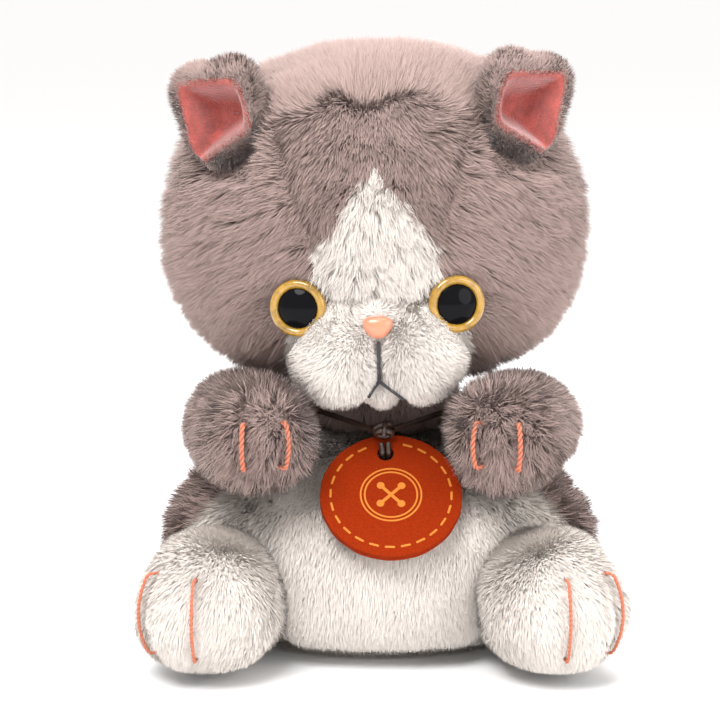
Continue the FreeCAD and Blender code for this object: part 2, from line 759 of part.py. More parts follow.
def trunk_nodes():
    sockets = trunk_hollows()
    inside = trunk_ball(TRUNK_PLUSH)
    dents = limb_dents()
    cover = cut_in_turn(trunk_ball(), sockets + dents + turned_dents() + tag_room()).cut(inside)
    stuffing = cut_in_turn(inside, sockets + dents)
    bag = ellipsoid((0, TRUNK_Y, PELLET_BAG_Z), PELLET_BAG_HALF)
    reach = TRUNK_HALF_WIDTH + 40
    floor_slab = box((-reach, -reach, -5), (reach, reach, BASE_SEAM_Z))
    front = box((-reach, -reach, BASE_SEAM_Z), (reach, SIDE_SEAM_Y, 100))
    upper = cover.cut(floor_slab)
    return {
        "base_panel": largest_solid(cover.common(floor_slab)),
        "belly_panel": largest_solid(upper.common(front)),
        "back_panel": largest_solid(upper.cut(front)),
        "body_stuffing": largest_solid(stuffing.cut(bag)),
        "pellet_bag": bag,
        "neck_stuffing": Part.makeSphere(NECK_RADIUS, V(0, 0, NECK_Z)),
    }


def limb_nodes():
    nodes = {}
    for name, side in SIDES.items():
        cover, stuffing = cover_and_stuffing(lambda grow: arm_solid(side, grow), 0.0)
        nodes["arm_cover_" + name] = cover
        nodes["arm_stuffing_" + name] = stuffing
        for place, yaw in zip(("inner", "outer"), PAW_THREADS):
            nodes["paw_thread_" + name + "_" + place] = claw_thread(
                mirrored_x(PAW, side), PAW_RADIUS, yaw * side, PAW_THREAD_SPAN)
        cover, stuffing = cover_and_stuffing(lambda grow: leg_solid(side, grow), LIMB_PLUSH)
        nodes["leg_cover_" + name] = cover
        nodes["leg_stuffing_" + name] = stuffing
        for place, yaw in zip(("inner", "outer"), FOOT_THREADS):
            nodes["foot_thread_" + name + "_" + place] = claw_thread(
                mirrored_x(FOOT, side), FOOT_RADIUS, yaw * side, FOOT_THREAD_SPAN)
    cover, stuffing = cover_and_stuffing(tail_solid, 0.0)
    nodes["tail_cover"] = cover
    nodes["tail_stuffing"] = stuffing
    return nodes


def tag_nodes():
    return {
        "tag_front": tag_layer(True),
        "tag_back": tag_layer(False),
        "tag_loop": tag_loop(),
        "tag_knot": tag_knot(),
        "tag_cord": largest_solid(cord_tube(CORD_ROUTE, CORD_RADIUS).cut(tag_knot())),
    }


def main():
    os.makedirs("parts", exist_ok=True)
    nodes = {}
    for group in (head_nodes, trunk_nodes, limb_nodes, tag_nodes):
        nodes.update(group())
    for name, shape in nodes.items():
        if not shape.isValid():
            print("not valid:", name)
        shape.exportStep("parts/" + name + ".step")
    print(len(nodes), "nodes")


main()
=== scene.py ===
"""Looks of the plush cat: its pile, eyes, nose, threads, ears, tag and cord, built round the CAD parts from
model.glb.
"""
from math import atan2, cos, pi, radians, sin, sqrt

import bpy
import numpy as np
from bpy.props import FloatProperty, FloatVectorProperty, IntProperty, PointerProperty
from bpy.types import Operator, Panel, PropertyGroup
from mathutils import Matrix, Vector


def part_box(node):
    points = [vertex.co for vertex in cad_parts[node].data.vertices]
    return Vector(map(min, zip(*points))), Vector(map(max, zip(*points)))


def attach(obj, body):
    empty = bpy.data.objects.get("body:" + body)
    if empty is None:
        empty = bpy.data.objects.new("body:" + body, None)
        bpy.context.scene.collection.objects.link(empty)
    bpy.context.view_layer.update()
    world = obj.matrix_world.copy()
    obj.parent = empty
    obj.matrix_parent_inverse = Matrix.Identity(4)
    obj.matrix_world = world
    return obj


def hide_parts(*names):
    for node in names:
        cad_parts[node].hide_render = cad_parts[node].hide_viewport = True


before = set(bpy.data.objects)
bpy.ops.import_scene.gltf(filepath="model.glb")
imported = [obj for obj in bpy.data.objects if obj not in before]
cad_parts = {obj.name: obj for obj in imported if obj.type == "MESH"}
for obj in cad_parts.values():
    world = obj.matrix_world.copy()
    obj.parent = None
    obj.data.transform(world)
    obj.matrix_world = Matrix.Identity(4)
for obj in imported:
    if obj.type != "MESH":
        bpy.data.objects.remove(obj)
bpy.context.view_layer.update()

bl_info = {
    "name": "Plush Cat",
    "version": (1, 0, 0),
    "blender": (4, 5, 0),
    "location": "3D View > Sidebar > Plush Cat",
    "description": "Builds a seated plush cat with a round felt tag",
    "category": "Object",
}

MM = 0.001
SIDES = {"left": 1, "right": -1}
NECK = np.array([0.0, 0.0, 61.0])
HEAD_ROLL = 1.5


# ---------------------------------------------------------------- settings

def color_setting(name, description, default):
    return FloatVectorProperty(name=name, description=description, subtype="COLOR", size=3,
                               default=default)


def length_setting(name, description, low, high, default):
    return FloatProperty(name=name, description=description, unit="LENGTH", min=low, max=high,
                         default=default)


class CatSettings(PropertyGroup):
    grey: color_setting("Grey pile", "Colour of the grey pile at its tips", (0.375, 0.272, 0.245))
    white: color_setting("White pile", "Colour of the white pile at its tips", (0.86, 0.80, 0.745))
    coral: color_setting("Ear lining", "Colour of the knitted ear lining", (0.34, 0.062, 0.050))
    mustard: color_setting("Eye ring", "Colour of the moulded eye ring", (0.34, 0.185, 0.018))
    salmon: color_setting("Nose and claws", "Colour of the nose and claw threads", (0.66, 0.20, 0.11))
    tag: color_setting("Tag", "Colour of the felt tag", (0.24, 0.019, 0.0006))
    tag_print: color_setting("Tag print", "Colour of the print on the tag", (0.50, 0.15, 0.006))
    pile_density: FloatProperty(name="Pile density", description="Strands on a square millimetre",
                                min=0.5, max=20, default=11.2)
    pile_width: length_setting("Strand width", "Width of one strand at its middle", 0.0001, 0.001, 0.00024)
    head_pile: length_setting("Head pile", "Length of the pile on the head", 0.002, 0.015, 0.0070)
    trunk_pile: length_setting("Trunk pile", "Length of the pile on the trunk", 0.002, 0.015, 0.0068)
    limb_pile: length_setting("Limb pile", "Length of the pile on arms and legs", 0.002, 0.015, 0.0056)
    seed: IntProperty(name="Seed", description="Seed of everything that is scattered", default=7)


def settings():
    return bpy.context.scene.plush_cat


# ---------------------------------------------------------------- small helpers

def node_box(name):
    """Lowest and highest corner of a CAD node in millimetres."""
    low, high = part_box(name)
    return np.array(low) / MM, np.array(high) / MM


def node_centre(name):
    low, high = node_box(name)
    return (low + high) / 2


def unit(vector):
    vector = np.asarray(vector, float)
    return vector / np.maximum(np.linalg.norm(vector, axis=-1, keepdims=True), 1e-9)


def roll_matrix(angle=-HEAD_ROLL):
    """Turn about the neck's pivot that sets the head askew, in millimetres."""
    pivot = Matrix.Translation(Vector(NECK))
    return pivot @ Matrix.Rotation(radians(angle), 4, "Y") @ pivot.inverted()


def apply_matrix(matrix, points):
    rotation = np.array(matrix.to_3x3())
    return np.asarray(points, float) @ rotation.T + np.array(matrix.translation)


def smooth_max(first, second, softness):
    return softness * np.logaddexp(first / softness, second / softness)


def bump(distance, width):
    return np.exp(-(distance / width) ** 2)


def ease(value, low, high):
    """0 below low, 1 above high, smooth between."""
    share = np.clip((value - low) / (high - low), 0, 1)
    return share * share * (3 - 2 * share)


def lumps(points, scale, seed):
    """Smooth unevenness from a few sine waves, from -1 to 1, at a size in millimetres."""
    random = np.random.default_rng(seed)
    total = np.zeros(len(points))
    waves = 7
    for _ in range(waves):
        direction = unit(random.normal(size=3))
        phase = random.uniform(0, 2 * pi)
        total += np.sin(points @ direction * (2 * pi / scale) * random.uniform(0.7, 1.4) + phase)
    return total / sqrt(waves)


def quad_sphere(count):
    """Even unit sphere of quads: directions and faces, pointing outward."""
    steps = np.tan(np.linspace(-pi / 4, pi / 4, count + 1))
    u, v = np.meshgrid(steps, steps, indexing="ij")
    one = np.ones_like(u)
    sheets = [(one, u, v), (-one, v, u), (v, one, u), (u, -one, v), (u, v, one), (v, u, -one)]
    points, faces = [], []
    index = np.arange((count + 1) ** 2).reshape(count + 1, count + 1)
    quads = np.stack([index[:-1, :-1], index[1:, :-1], index[1:, 1:], index[:-1, 1:]], -1).reshape(-1, 4)
    for number, sheet in enumerate(sheets):
        points.append(unit(np.stack(sheet, -1).reshape(-1, 3)))
        faces.append(quads + number * (count + 1) ** 2)
    points, faces = np.vstack(points), np.vstack(faces)
    keys = np.round(points, 5)
    _, first, back = np.unique(keys, axis=0, return_index=True, return_inverse=True)
    return points[first], back.ravel()[faces]


def new_object(name, data):
    piece = bpy.data.objects.new(name, data)
    bpy.context.scene.collection.objects.link(piece)
    return piece


def mesh_from(name, points, faces, smooth=True):
    """Mesh from points in millimetres."""
    mesh = bpy.data.meshes.new(name)
    mesh.from_pydata((np.asarray(points) * MM).tolist(), [], [list(face) for face in faces])
    mesh.update()
    if smooth:
        mesh.shade_smooth()
    return mesh


def vertex_normals(points, faces):
    mesh = mesh_from("probe", points, faces)
    normals = np.zeros(len(points) * 3, np.float32)
    mesh.vertices.foreach_get("normal", normals)
    bpy.data.meshes.remove(mesh)
    return normals.reshape(-1, 3).astype(float)


def cut_out(points, faces, keep, extras):
    """The part of a mesh whose faces are kept, with the values that belong to its points."""
    faces = faces[keep]
    used, back = np.unique(faces, return_inverse=True)
    return points[used], back.reshape(faces.shape), {name: value[used] for name, value in extras.items()}


def lathe(profile, turns=64):
    """Points and faces of a profile of (radius, height) turned about Z; a zero radius closes it."""
    points, faces, rings = [], [], []
    for radius, height in profile:
        if radius < 1e-6:
            rings.append([len(points)])
            points.append((0.0, 0.0, height))
            continue
        rings.append(list(range(len(points), len(points) + turns)))
        for step in range(turns):
            angle = 2 * pi * step / turns
            points.append((radius * cos(angle), radius * sin(angle), height))
    for low, high in zip(rings, rings[1:]):
        for step in range(turns):
            after = (step + 1) % turns
            if len(low) == 1:
                faces.append((low[0], high[after], high[step]))
            elif len(high) == 1:
                faces.append((low[step], low[after], high[0]))
            else:
                faces.append((low[step], low[after], high[after], high[step]))
    return np.array(points), faces


def arc_profile(centre, radius, start, end, steps):
    """Points of an arc in a profile, from one angle to another in degrees."""
    angles = np.radians(np.linspace(start, end, steps))
    return [(centre[0] + radius * cos(angle), centre[1] + radius * sin(angle)) for angle in angles]


def frame_to(origin, direction, up=(0, 0, 1)):
    """Matrix in millimetres whose Z runs along direction from origin, and whose Y stays near up."""
    z = Vector(direction).normalized()
    x = Vector(up).cross(z).normalized()
    y = z.cross(x)
    matrix = Matrix((x, y, z)).transposed().to_4x4()
    matrix.translation = Vector(origin)
    return matrix


# ---------------------------------------------------------------- materials

def node_of(tree, kind, **values):
    node = tree.nodes.new(kind)
    for name, value in values.items():
        setattr(node, name, value)
    return node


def plain_material(name, color, roughness, **sockets):
    material = bpy.data.materials.new(name)
    material.use_nodes = True
    shader = material.node_tree.nodes["Principled BSDF"]
    shader.inputs["Base Color"].default_value = (*color, 1.0)
    shader.inputs["Roughness"].default_value = roughness
    for socket, value in sockets.items():
        shader.inputs[socket.replace("_", " ")].default_value = value
    return material, material.node_tree, shader


def scaled(color, factor):
    return tuple(min(1.0, channel * factor) for channel in color)


def noise_on_object(tree, scale, detail=3.0, roughness=0.6):
    """Noise over the piece's own coordinates; scale is in turns a metre."""
    place = node_of(tree, "ShaderNodeTexCoord")
    noise = node_of(tree, "ShaderNodeTexNoise")
    noise.inputs["Scale"].default_value = scale
    noise.inputs["Detail"].default_value = detail
    noise.inputs["Roughness"].default_value = roughness
    tree.links.new(place.outputs["Object"], noise.inputs["Vector"])
    return noise


def ramp_of(tree, source, stops):
    ramp = node_of(tree, "ShaderNodeValToRGB")
    elements = ramp.color_ramp.elements
    while len(elements) < len(stops):
        elements.new(0.5)
    for element, (position, color) in zip(elements, stops):
        element.position = position
        element.color = (*color, 1.0)
    tree.links.new(source, ramp.inputs["Fac"])
    return ramp


def multiplied(tree, first, second):
    """Product of two colour outputs."""
    mix = node_of(tree, "ShaderNodeMix", data_type="RGBA", blend_type="MULTIPLY")
    factor = [socket for socket in mix.inputs if socket.type == "VALUE"][0]
    factor.default_value = 1.0
    colors = [socket for socket in mix.inputs if socket.type == "RGBA"]
    for socket, color in zip(colors, (first, second)):
        tree.links.new(color, socket)
    return [socket for socket in mix.outputs if socket.type == "RGBA"][0]


def add_bump(tree, shader, height, strength, distance):
    bump_node = node_of(tree, "ShaderNodeBump")
    bump_node.inputs["Strength"].default_value = strength
    bump_node.inputs["Distance"].default_value = distance
    tree.links.new(height, bump_node.inputs["Height"])
    tree.links.new(bump_node.outputs["Normal"], shader.inputs["Normal"])


def pile_material(name, color, root, streak):
    """Strands: darker at the root, which paints the shade deep in the pile, each with its own tone, in soft
    patches.
    """
    material, tree, shader = plain_material(name, color, 0.78, Sheen_Weight=0.25, Sheen_Roughness=0.45)
    shader.inputs["Specular IOR Level"].default_value = 0.25
    along = node_of(tree, "ShaderNodeAttribute", attribute_name="along")
    tone = node_of(tree, "ShaderNodeAttribute", attribute_name="tone")
    # Root to tip ramp: the darker root is painted shade, standing for the shadow deep in the pile.
    length = ramp_of(tree, along.outputs["Fac"], [(0.0, root), (0.55, scaled(color, 0.86)), (1.0, color)])
    strands = ramp_of(tree, tone.outputs["Fac"], [
        (0.0, (1.0 - streak,) * 3), (0.5, (1.0,) * 3), (1.0, (1.0 + streak * 0.6,) * 3)])
    patches = noise_on_object(tree, 70.0, 2.0)
    soft = ramp_of(tree, patches.outputs["Fac"], [(0.3, (0.93, 0.92, 0.92)), (0.7, (1.0, 1.0, 1.0))])
    toned = multiplied(tree, length.outputs["Color"], strands.outputs["Color"])
    shaded = multiplied(tree, toned, soft.outputs["Color"])
    tree.links.new(shaded, shader.inputs["Base Color"])
    return material


def backing_material(name, color):
    """Knitted backing cloth under the pile."""
    material, tree, shader = plain_material(name, color, 0.95)
    weave = noise_on_object(tree, 1500.0, 2.0)
    tones = ramp_of(tree, weave.outputs["Fac"], [(0.3, scaled(color, 0.7)), (0.7, color)])
    tree.links.new(tones.outputs["Color"], shader.inputs["Base Color"])
    add_bump(tree, shader, weave.outputs["Fac"], 0.5, 0.0003)
    return material


# ---------------------------------------------------------------- pile by Geometry Nodes

class TreeBuilder:
    """Short calls for building a geometry tree."""

    def __init__(self, name, inputs):
        self.tree = bpy.data.node_groups.new(name, "GeometryNodeTree")
        face = self.tree.interface
        face.new_socket("Geometry", in_out="INPUT", socket_type="NodeSocketGeometry")
        for label, kind in inputs:
            face.new_socket(label, in_out="INPUT", socket_type=kind)
        face.new_socket("Geometry", in_out="OUTPUT", socket_type="NodeSocketGeometry")
        self.start = self.tree.nodes.new("NodeGroupInput")
        self.end = self.tree.nodes.new("NodeGroupOutput")

    def add(self, kind, links=None, **values):
        """New node; links maps an input's name or number to an output socket or a value."""
        node = node_of(self.tree, kind, **values)
        for key, value in (links or {}).items():
            socket = node.inputs[key]
            if isinstance(value, bpy.types.NodeSocket):
                self.tree.links.new(value, socket)
            else:
                socket.default_value = value
        return node

    def math(self, operation, first, second=0.0):
        return self.add("ShaderNodeMath", {0: first, 1: second}, operation=operation).outputs[0]

    def vector(self, operation, first, second=None, factor=None):
        links = {0: first}
        if second is not None:
            links[1] = second
        if factor is not None:
            links["Scale"] = factor
        node = self.add("ShaderNodeVectorMath", links, operation=operation)
        return node.outputs["Value" if operation in ("LENGTH", "DOT_PRODUCT") else "Vector"]

    def scale(self, vector, factor):
        return self.vector("SCALE", vector, factor=factor)

    def xyz(self, x, y, z):
        return self.add("ShaderNodeCombineXYZ", {0: x, 1: y, 2: z}).outputs[0]

    def attribute(self, name, kind="FLOAT"):
        node = self.add("GeometryNodeInputNamedAttribute", {"Name": name}, data_type=kind)
        return node.outputs["Attribute"]

    def store(self, geometry, name, value, kind="FLOAT", domain="POINT"):
        links = {"Geometry": geometry, "Name": name, "Value": value}
        node = self.add("GeometryNodeStoreNamedAttribute", links, data_type=kind, domain=domain)
        return node.outputs["Geometry"]

    def random(self, low, high, seed):
        node = self.add("FunctionNodeRandomValue", {"Seed": seed}, data_type="FLOAT")
        node.inputs[2].default_value = low
        node.inputs[3].default_value = high
        return node.outputs[1]


STRAND_SPIN = 0.9
STRAND_BOW = 0.36


def strand_mesh(b):
    """One strand: a slim bowed kite, one long and one wide, with its own place along and across."""
    ring = b.add("GeometryNodeMeshCircle", {"Vertices": 4, "Radius": 1.0}, fill_type="NGON").outputs["Mesh"]
    corner = b.add("ShaderNodeSeparateXYZ", {0: b.add("GeometryNodeInputPosition").outputs[0]})
    along = b.math("MULTIPLY_ADD", corner.outputs["X"], -0.5)
    along.node.inputs[2].default_value = 0.5
    across = corner.outputs["Y"]
    ring = b.store(ring, "along", along)
    ring = b.store(ring, "across", across)
    stored_along, stored_across = b.attribute("along"), b.attribute("across")
    remaining = b.math("SUBTRACT", 1.0, stored_along)
    bow = b.math("MULTIPLY", b.math("MULTIPLY", stored_along, remaining), STRAND_BOW)
    lowered = b.math("MULTIPLY", stored_along, b.math("ADD", 0.8, b.math("MULTIPLY", stored_along, 0.2)))
    place = b.xyz(b.math("MULTIPLY", stored_across, 0.5), b.math("MULTIPLY", bow, -1.0), lowered)
    return b.add("GeometryNodeSetPosition", {"Geometry": ring, "Position": place}).outputs["Geometry"]


def pile_tree():
    """Scatters strands over a backing that carries 'comb' and 'pile'.

    Each strand gets a cell of its own in the bake map.
    """
    b = TreeBuilder("Pile", [
        ("Density", "NodeSocketFloat"), ("Width", "NodeSocketFloat"), ("Clump", "NodeSocketFloat"),
        ("Clump Size", "NodeSocketFloat"), ("Stray", "NodeSocketFloat"), ("Cells", "NodeSocketFloat"),
        ("Seed", "NodeSocketInt"), ("Strand", "NodeSocketMaterial"), ("Backing", "NodeSocketMaterial"),
    ])
    given = b.start.outputs
    scatter = b.add("GeometryNodeDistributePointsOnFaces",
                    {"Mesh": given["Geometry"], "Density": given["Density"], "Seed": given["Seed"]},
                    distribute_method="RANDOM")
    points = b.store(scatter.outputs["Points"], "skin", scatter.outputs["Normal"], "FLOAT_VECTOR")
    points = b.store(points, "tone", b.random(0.0, 1.0, 11))
    points = b.store(points, "cell", b.add("GeometryNodeInputIndex").outputs[0])
    skin, comb = b.attribute("skin", "FLOAT_VECTOR"), b.attribute("comb", "FLOAT_VECTOR")
    pile = b.attribute("pile")
    place = b.add("GeometryNodeInputPosition").outputs[0]

    warp = b.add("ShaderNodeTexNoise", {"Vector": place, "Scale": 90.0, "Detail": 2.0})
    drift = b.vector("SUBTRACT", warp.outputs["Color"], (0.5, 0.5, 0.5))
    fine = b.add("ShaderNodeTexNoise", {"Vector": place, "Scale": 900.0, "Detail": 1.0})
    fluff = b.vector("SUBTRACT", fine.outputs["Color"], (0.5, 0.5, 0.5))
    cells = b.add("ShaderNodeTexVoronoi",
                  {"Vector": b.vector("ADD", place, b.scale(drift, 0.004)),
                   "Scale": b.math("DIVIDE", 1.0, given["Clump Size"])}, feature="F1")
    pull = b.vector("SUBTRACT", cells.outputs["Position"], place)
    pull = b.vector("DIVIDE", pull, b.xyz(given["Clump Size"], given["Clump Size"], given["Clump Size"]))
    own = b.xyz(b.random(-1, 1, 21), b.random(-1, 1, 22), b.random(-1, 1, 23))
    lean = b.vector("ADD", skin, comb)
    lean = b.vector("ADD", lean, b.scale(drift, 1.1))
    lean = b.vector("ADD", lean, b.scale(pull, given["Clump"]))
    lean = b.vector("ADD", lean, b.scale(fluff, given["Stray"]))
    lean = b.vector("ADD", lean, b.scale(own, b.math("MULTIPLY", given["Stray"], 0.45)))
    direction = b.vector("NORMALIZE", lean)
    aim = b.add("FunctionNodeAlignRotationToVector", {"Vector": direction}, axis="Z").outputs[0]
    aim = b.add("FunctionNodeAlignRotationToVector", {"Rotation": aim, "Vector": b.scale(skin, -1.0)},
                axis="Y", pivot_axis="Z").outputs[0]
    angle = b.random(-STRAND_SPIN, STRAND_SPIN, 31)
    spin = b.add("FunctionNodeAxisAngleToRotation", {"Axis": (0, 0, 1), "Angle": angle}).outputs[0]
    turn = b.add("FunctionNodeRotateRotation", {"Rotation": aim, "Rotate By": spin},
                 rotation_space="LOCAL").outputs[0]
    length = b.math("MULTIPLY", pile, b.random(0.62, 1.08, 41))
    width = b.math("MULTIPLY", given["Width"], b.random(0.7, 1.3, 42))
    strands = b.add("GeometryNodeInstanceOnPoints",
                    {"Points": points, "Instance": strand_mesh(b), "Rotation": turn,
                     "Scale": b.xyz(width, length, length)}).outputs["Instances"]
    real = b.add("GeometryNodeRealizeInstances", {"Geometry": strands}).outputs["Geometry"]

    cell = b.attribute("cell")
    column = b.math("MODULO", cell, given["Cells"])
    row = b.math("FLOOR", b.math("DIVIDE", cell, given["Cells"]))
    inner_u = b.math("MULTIPLY_ADD", b.attribute("across"), 0.35)
    inner_u.node.inputs[2].default_value = 0.5
    inner_v = b.math("MULTIPLY_ADD", b.attribute("along"), 0.7)
    inner_v.node.inputs[2].default_value = 0.15
    u = b.math("DIVIDE", b.math("ADD", column, inner_u), given["Cells"])
    v = b.math("DIVIDE", b.math("ADD", row, inner_v), given["Cells"])
    real = b.store(real, "OFBake", b.xyz(u, v, 0.0), "FLOAT2", "CORNER")
    flat = b.add("GeometryNodeInputNormal").outputs[0]
    facing = b.vector("SIGN", b.xyz(*[b.vector("DOT_PRODUCT", flat, skin)] * 3))
    facing = b.vector("MULTIPLY", flat, facing)
    soft = b.vector("NORMALIZE", b.vector("ADD", b.scale(skin, 0.85), b.scale(facing, 0.3)))
    real = b.add("GeometryNodeSetMeshNormal", {"Mesh": real}, mode="FREE", domain="CORNER")
    custom = [socket for socket in real.inputs if socket.type == "VECTOR"][0]
    b.tree.links.new(soft, custom)
    real = b.add("GeometryNodeSetMaterial", {"Geometry": real.outputs["Mesh"], "Material": given["Strand"]})

    edge = b.math("SUBTRACT", 1.0, b.math("DIVIDE", 0.5, given["Cells"]))
    cloth = b.store(given["Geometry"], "OFBake", b.xyz(edge, edge, 0.0), "FLOAT2", "CORNER")
    cloth = b.add("GeometryNodeSetMaterial", {"Geometry": cloth, "Material": given["Backing"]})
    joined = b.add("GeometryNodeJoinGeometry")
    b.tree.links.new(real.outputs["Geometry"], joined.inputs[0])
    b.tree.links.new(cloth.outputs["Geometry"], joined.inputs[0])
    b.tree.links.new(joined.outputs[0], b.end.inputs[0])
    return b.tree


def run_tree(piece, tree, values):
    """Runs a geometry tree on a piece and leaves a plain mesh."""
    modifier = piece.modifiers.new("nodes", "NODES")
    modifier.node_group = tree
    sockets = {item.name: item.identifier for item in tree.interface.items_tree if item.in_out == "INPUT"}
    for name, value in values.items():
        modifier[sockets[name]] = value
    bpy.context.view_layer.update()
    shown = piece.evaluated_get(bpy.context.evaluated_depsgraph_get())
    plain = bpy.data.meshes.new_from_object(shown)
    piece.modifiers.remove(modifier)
    old = piece.data
    piece.data = plain
    bpy.data.meshes.remove(old)


def plush_piece(name, points, faces, comb, pile, colour, nodes, body, density=1.0, clump=0.35,
                clump_size=0.0045, stray=0.55, width=1.0, seed=0):
    """Backing cloth with its pile, standing for CAD nodes; lengths of pile are in millimetres."""
    chosen = settings()
    mesh = mesh_from(name, points, faces)
    for label, value, kind in (("comb", comb, "FLOAT_VECTOR"), ("pile", pile * MM, "FLOAT")):
        layer = mesh.attributes.new(label, kind, "POINT")
        key = "vector" if kind == "FLOAT_VECTOR" else "value"
        layer.data.foreach_set(key, np.asarray(value, np.float32).ravel())
    piece = new_object(name, mesh)
    area = sum(polygon.area for polygon in mesh.polygons)
    per_area = chosen.pile_density * density / MM ** 2
    wide = chosen.pile_width * width
    cells = float(int(sqrt(area * per_area * 1.03)) + 2)
    strand, backing = FINISHES[colour]
    run_tree(piece, FINISHES["tree"], {
        "Density": per_area, "Width": wide, "Clump": clump, "Clump Size": clump_size, "Stray": stray,
        "Cells": cells, "Seed": chosen.seed + seed, "Strand": strand, "Backing": backing})
    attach(piece, body)
    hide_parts(*nodes)


FINISHES = {}


# ---------------------------------------------------------------- head

HEAD_CENTRE = np.array([0.0, 0.0, 108.0])
HEAD_HALF = np.array([54.5, 45.0, 45.0])
HEAD_SINK = 5.5
LOBE_CENTRE = np.array([9.5, -36.5, 79.5])
LOBE_HALF = np.array([13.0, 13.0, 14.5])
LOBE_SINK = 2.4
MOUTH_LINES = [((0.0, 82.0), (0.0, 72.0)), ((0.0, 72.0), (-2.6, 67.9)), ((0.0, 72.0), (5.6, 67.6))]
GUSSET_TOP_HALF = 30.0
GUSSET_SLOPE = 0.35
CHIN_CENTRE, CHIN_HALF = (0.0, -32.0, -37.0), (7.0, 8.5, 5.0)
BRIDGE_CENTRE, BRIDGE_HALF = (0.0, -35.0, -21.0), (6.0, 9.0, 7.0)
BLAZE_TIP_Z, BLAZE_WIDE_Z, BLAZE_LOW_Z = 125.0, 104.0, 84.0
BLAZE_HALF_WIDTH = 14.5
MUZZLE_Z, MUZZLE_TOP_Z = 80.0, 94.5
MUZZLE_HALF_WIDTH, MUZZLE_HALF_HEIGHT = 22.0, 15.5
FRONT_Y, CROWN_BACK_Y = -16.0, 10.0
EYE_SOCKET_DEPTH, EYE_SOCKET_WIDTH = 2.6, 8.0
HEAD_GRID = 60


def ball_reach(directions):
    """Distance from the head's centre to its round form, along each direction."""
    half = HEAD_HALF - HEAD_SINK
    level = np.sqrt((directions[:, 0] / half[0]) ** 2 + (directions[:, 1] / half[1]) ** 2)
    rise = np.abs(directions[:, 2] / half[2])
    power = np.where(directions[:, 2] > 0, 2.2, 2.6)
    return 1.0 / (level ** power + rise ** power) ** (1.0 / power)


def ellipsoid_reach(directions, centre, half):
    """Distance from the origin through an ellipsoid to its far side, or a little if it is missed."""
    along = directions / half
    offset = centre / half
    a = np.sum(along ** 2, axis=1)
    b = -2 * np.sum(along * offset, axis=1)
    c = np.sum(offset ** 2) - 1
    inside = np.maximum(b ** 2 - 4 * a * c, 0)
    return np.where(inside > 0, (-b + np.sqrt(inside)) / (2 * a), 0.0)


def gusset_half(z):
    return GUSSET_TOP_HALF - GUSSET_SLOPE * (HEAD_CENTRE[2] + HEAD_HALF[2] - z)


def eye_spots():
    """Eye centres in the unrolled head, from the CAD pupils."""
    back = roll_matrix(HEAD_ROLL)
    return {name: apply_matrix(back, node_centre("eye_pupil_" + name)[None])[0] for name in SIDES}


def head_surface(count):
    """Backing of the whole head in its unrolled place."""
    directions, faces = quad_sphere(count)
    reach = ball_reach(directions)
    lobes = None
    for side in SIDES.values():
        centre = (LOBE_CENTRE - HEAD_CENTRE) * np.array([side, 1, 1])
        lobe = ellipsoid_reach(directions, centre, LOBE_HALF - LOBE_SINK)
        lobes = lobe if lobes is None else smooth_max(lobes, lobe, 1.0)
    chin = ellipsoid_reach(directions, np.array(CHIN_CENTRE), np.array(CHIN_HALF))
    lobes = smooth_max(lobes, chin, 1.0)
    bridge = ellipsoid_reach(directions, np.array(BRIDGE_CENTRE), np.array(BRIDGE_HALF))
    lobes = smooth_max(lobes, bridge, 1.2)
    reach = smooth_max(reach, lobes, 1.3)
    points = HEAD_CENTRE + directions * reach[:, None]
    front = ease(-points[:, 1], 0, 15)
    seam = bump(np.abs(points[:, 0]) - gusset_half(points[:, 2]), 2.2) * front * ease(points[:, 2], 96, 104)
    dip = 1.8 * seam
    for spot in eye_spots().values():
        apart = np.hypot(points[:, 0] - spot[0], points[:, 2] - spot[2])
        dip = dip + EYE_SOCKET_DEPTH * bump(apart, EYE_SOCKET_WIDTH) * front
    dip = dip - 0.7 * lumps(points, 38.0, 3)
    points = points - directions * dip[:, None]
    return points, faces


def comb_field(points, normals, wish):
    """The wished lean, laid into the surface."""
    wish = np.broadcast_to(np.asarray(wish, float), points.shape)
    return wish - normals * np.sum(wish * normals, axis=1, keepdims=True)


def head_regions(centres):
    """Which faces belong to each panel, with the panel's colour and the CAD nodes it stands for."""
    x, y, z = centres.T
    front = y < FRONT_Y
    oval = (x / MUZZLE_HALF_WIDTH) ** 2 + ((z - MUZZLE_Z) / MUZZLE_HALF_HEIGHT) ** 2
    muzzle = front & (oval < 1) & (z < MUZZLE_TOP_Z)
    blaze_half = np.clip((BLAZE_TIP_Z - z) / (BLAZE_TIP_Z - BLAZE_WIDE_Z), 0, 1) * BLAZE_HALF_WIDTH
    blaze = front & ~muzzle & (np.abs(x) < blaze_half) & (z > BLAZE_LOW_Z)
    gusset = np.abs(x) < np.maximum(gusset_half(z), 4)
    crown = gusset & ~muzzle & ~blaze & (y < CROWN_BACK_Y)
    back = gusset & (y >= CROWN_BACK_Y)
    rest = ~(muzzle | blaze | crown | back)
    return {
        "muzzle": (muzzle, "white", ["muzzle_panel"]),
        "blaze": (blaze, "white", ["blaze_panel"]),
        "crown": (crown, "grey", ["crown_panel"]),
        "head_back": (back, "grey", ["head_back_panel", "head_stuffing"]),
        "head_side_left": (rest & (x > 0), "grey", ["head_side_panel_left"]),
        "head_side_right": (rest & (x <= 0), "grey", ["head_side_panel_right"]),
    }


